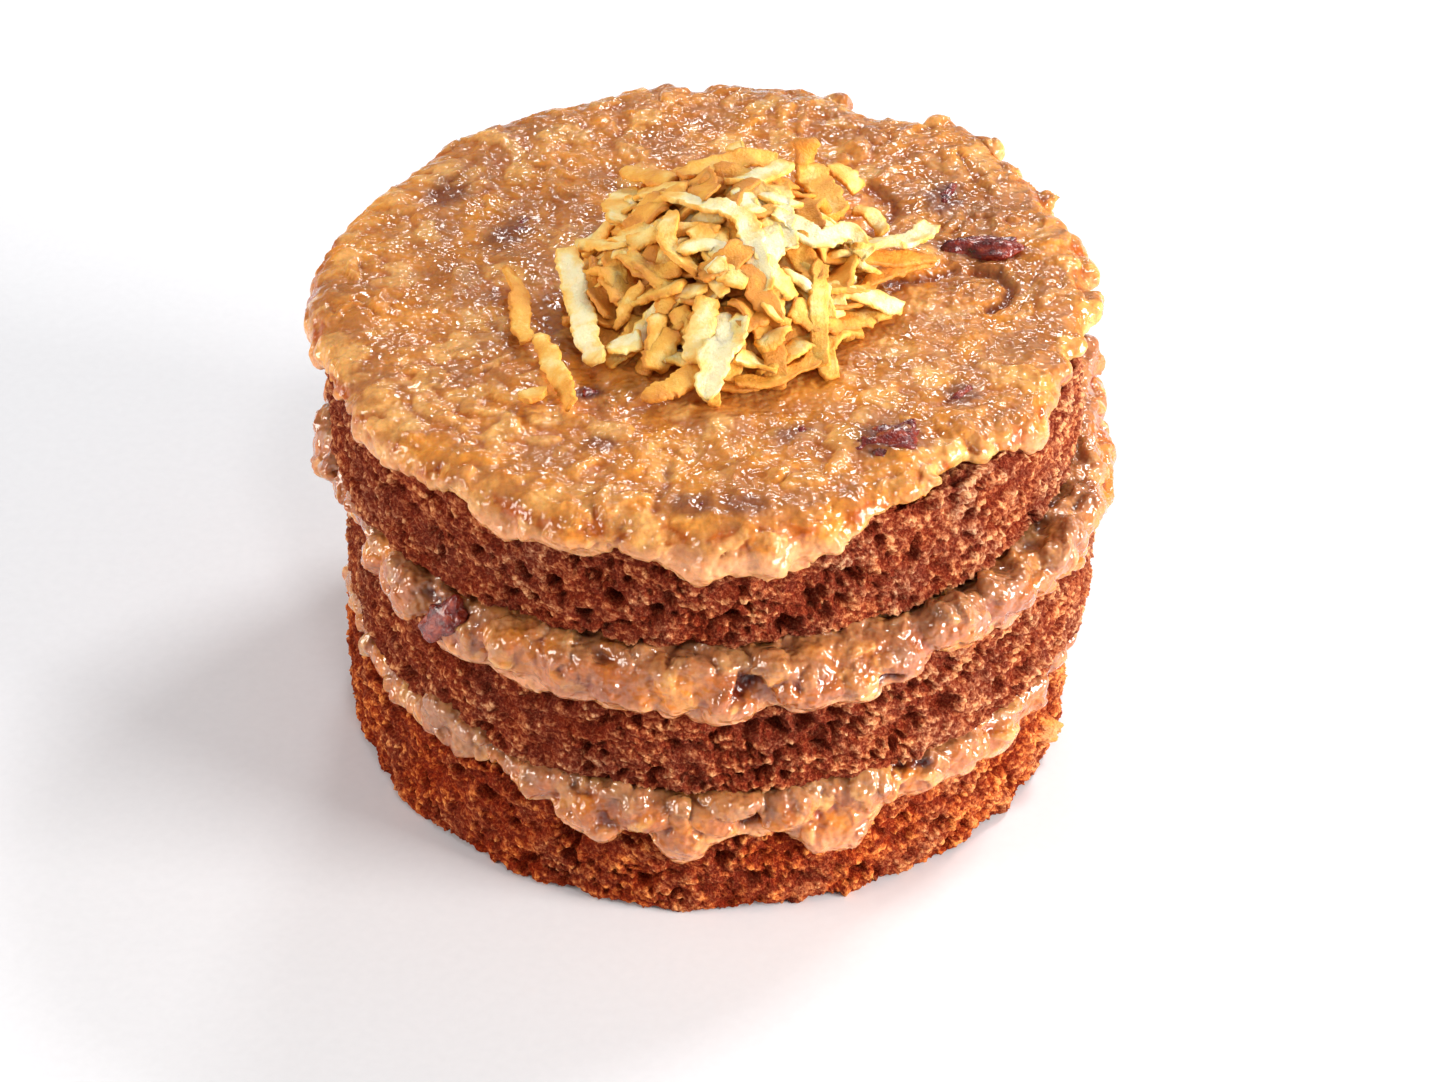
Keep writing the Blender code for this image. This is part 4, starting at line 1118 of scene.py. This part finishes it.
# Stage
def stage():
    """A plain floor, soft light from all sides, strongest from the right, and pale surroundings."""
    bpy.ops.mesh.primitive_plane_add(size=6.0, location=(0, 0, 0))
    floor = bpy.context.object
    floor.name = "floor"
    floor.data.materials.append(floor_material())
    world = bpy.data.worlds.new("studio")
    world.use_nodes = True
    world.node_tree.nodes["Background"].inputs["Color"].default_value = (0.97, 0.98, 1.0, 1)
    world.node_tree.nodes["Background"].inputs["Strength"].default_value = 0.24
    bpy.context.scene.world = world
    bpy.context.scene.view_settings.view_transform = "Standard"
    lights = (
        ("key", (0.50, 0.48, 0.75), 0.25, 5.0, (1.0, 0.99, 0.97)),
        ("back", (0.05, 0.85, 0.65), 0.18, 2.0, (1.0, 0.99, 0.97)),
        ("right", (0.97, -0.42, 0.27), 0.50, 22.0, (1.0, 0.96, 0.91)),
        ("left", (-0.97, -0.25, 0.32), 0.45, 8.5, (1.0, 0.94, 0.86)),
        ("fill", (0.12, -0.62, 0.85), 0.12, 1.35, (1.0, 0.99, 0.98)),
    )
    for name, place, size, power, colour in lights:
        lamp = bpy.data.lights.new(name, "AREA")
        lamp.size = size
        lamp.energy = power
        lamp.color = colour
        light = bpy.data.objects.new(name, lamp)
        light.location = place
        aim = Vector((0, 0, 0.04)) - Vector(place)
        light.rotation_euler = aim.to_track_quat("-Z", "Y").to_euler()
        bpy.context.scene.collection.objects.link(light)


def camera():
    """The photo's camera, placed from where it looks, how far off and how high."""
    lens = bpy.data.cameras.new("camera")
    lens.sensor_width = 36.0
    lens.lens = LENS
    lens.clip_start = 0.01
    view = bpy.data.objects.new("camera", lens)
    rise = math.radians(CAMERA_ELEVATION)
    back = Vector((0, -math.cos(rise), math.sin(rise))) * CAMERA_DISTANCE
    view.location = (Vector(LOOK_AT) + back) * MM
    view.rotation_euler = (-back).to_track_quat("-Z", "Y").to_euler()
    bpy.context.scene.collection.objects.link(view)
    bpy.context.scene.camera = view


camera()
stage()
crumb = sponge_material("chocolate_crumb", 0.4, 0.0)
# Painted light: the bottom sponge's crumb is painted warmer, for the golden glow that a gold board under the
# cake would throw on it
painted_glow_crumb = sponge_material("chocolate_crumb_painted_glow", 0.7, 0.4)
spread = spread_material("coconut_pecan_filling", FILLING_COLOURS, 0.75, 0.9)
glaze = spread_material("coconut_pecan_frosting", FROSTING_COLOURS, 0.55, 0.45)
lower_rim = (LOWER_REACH, LOWER_HANG, LOWER_LUMPS, LOWER_HOLLOWS)
upper_rim = (UPPER_REACH, UPPER_HANG, UPPER_LUMPS, UPPER_HOLLOWS)
pieces = [
    sponge("sponge_bottom", 11, painted_glow_crumb),
    sponge("sponge_middle", 31, crumb),
    sponge("sponge_top", 51, crumb),
    filling("filling_lower", "sponge_bottom", "sponge_middle", *lower_rim, seed=61, material=spread),
    filling("filling_upper", "sponge_middle", "sponge_top", *upper_rim, seed=71, material=spread),
    frosting(glaze),
    pecans(pecan_material()),
    coconut_heap(coconut_material()),
]
slots = ("sponge", "sponge", "sponge", "filling", "filling", "frosting", "frosting", "toasted_coconut")
for piece, slot in zip(pieces, slots):
    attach(piece, "root")
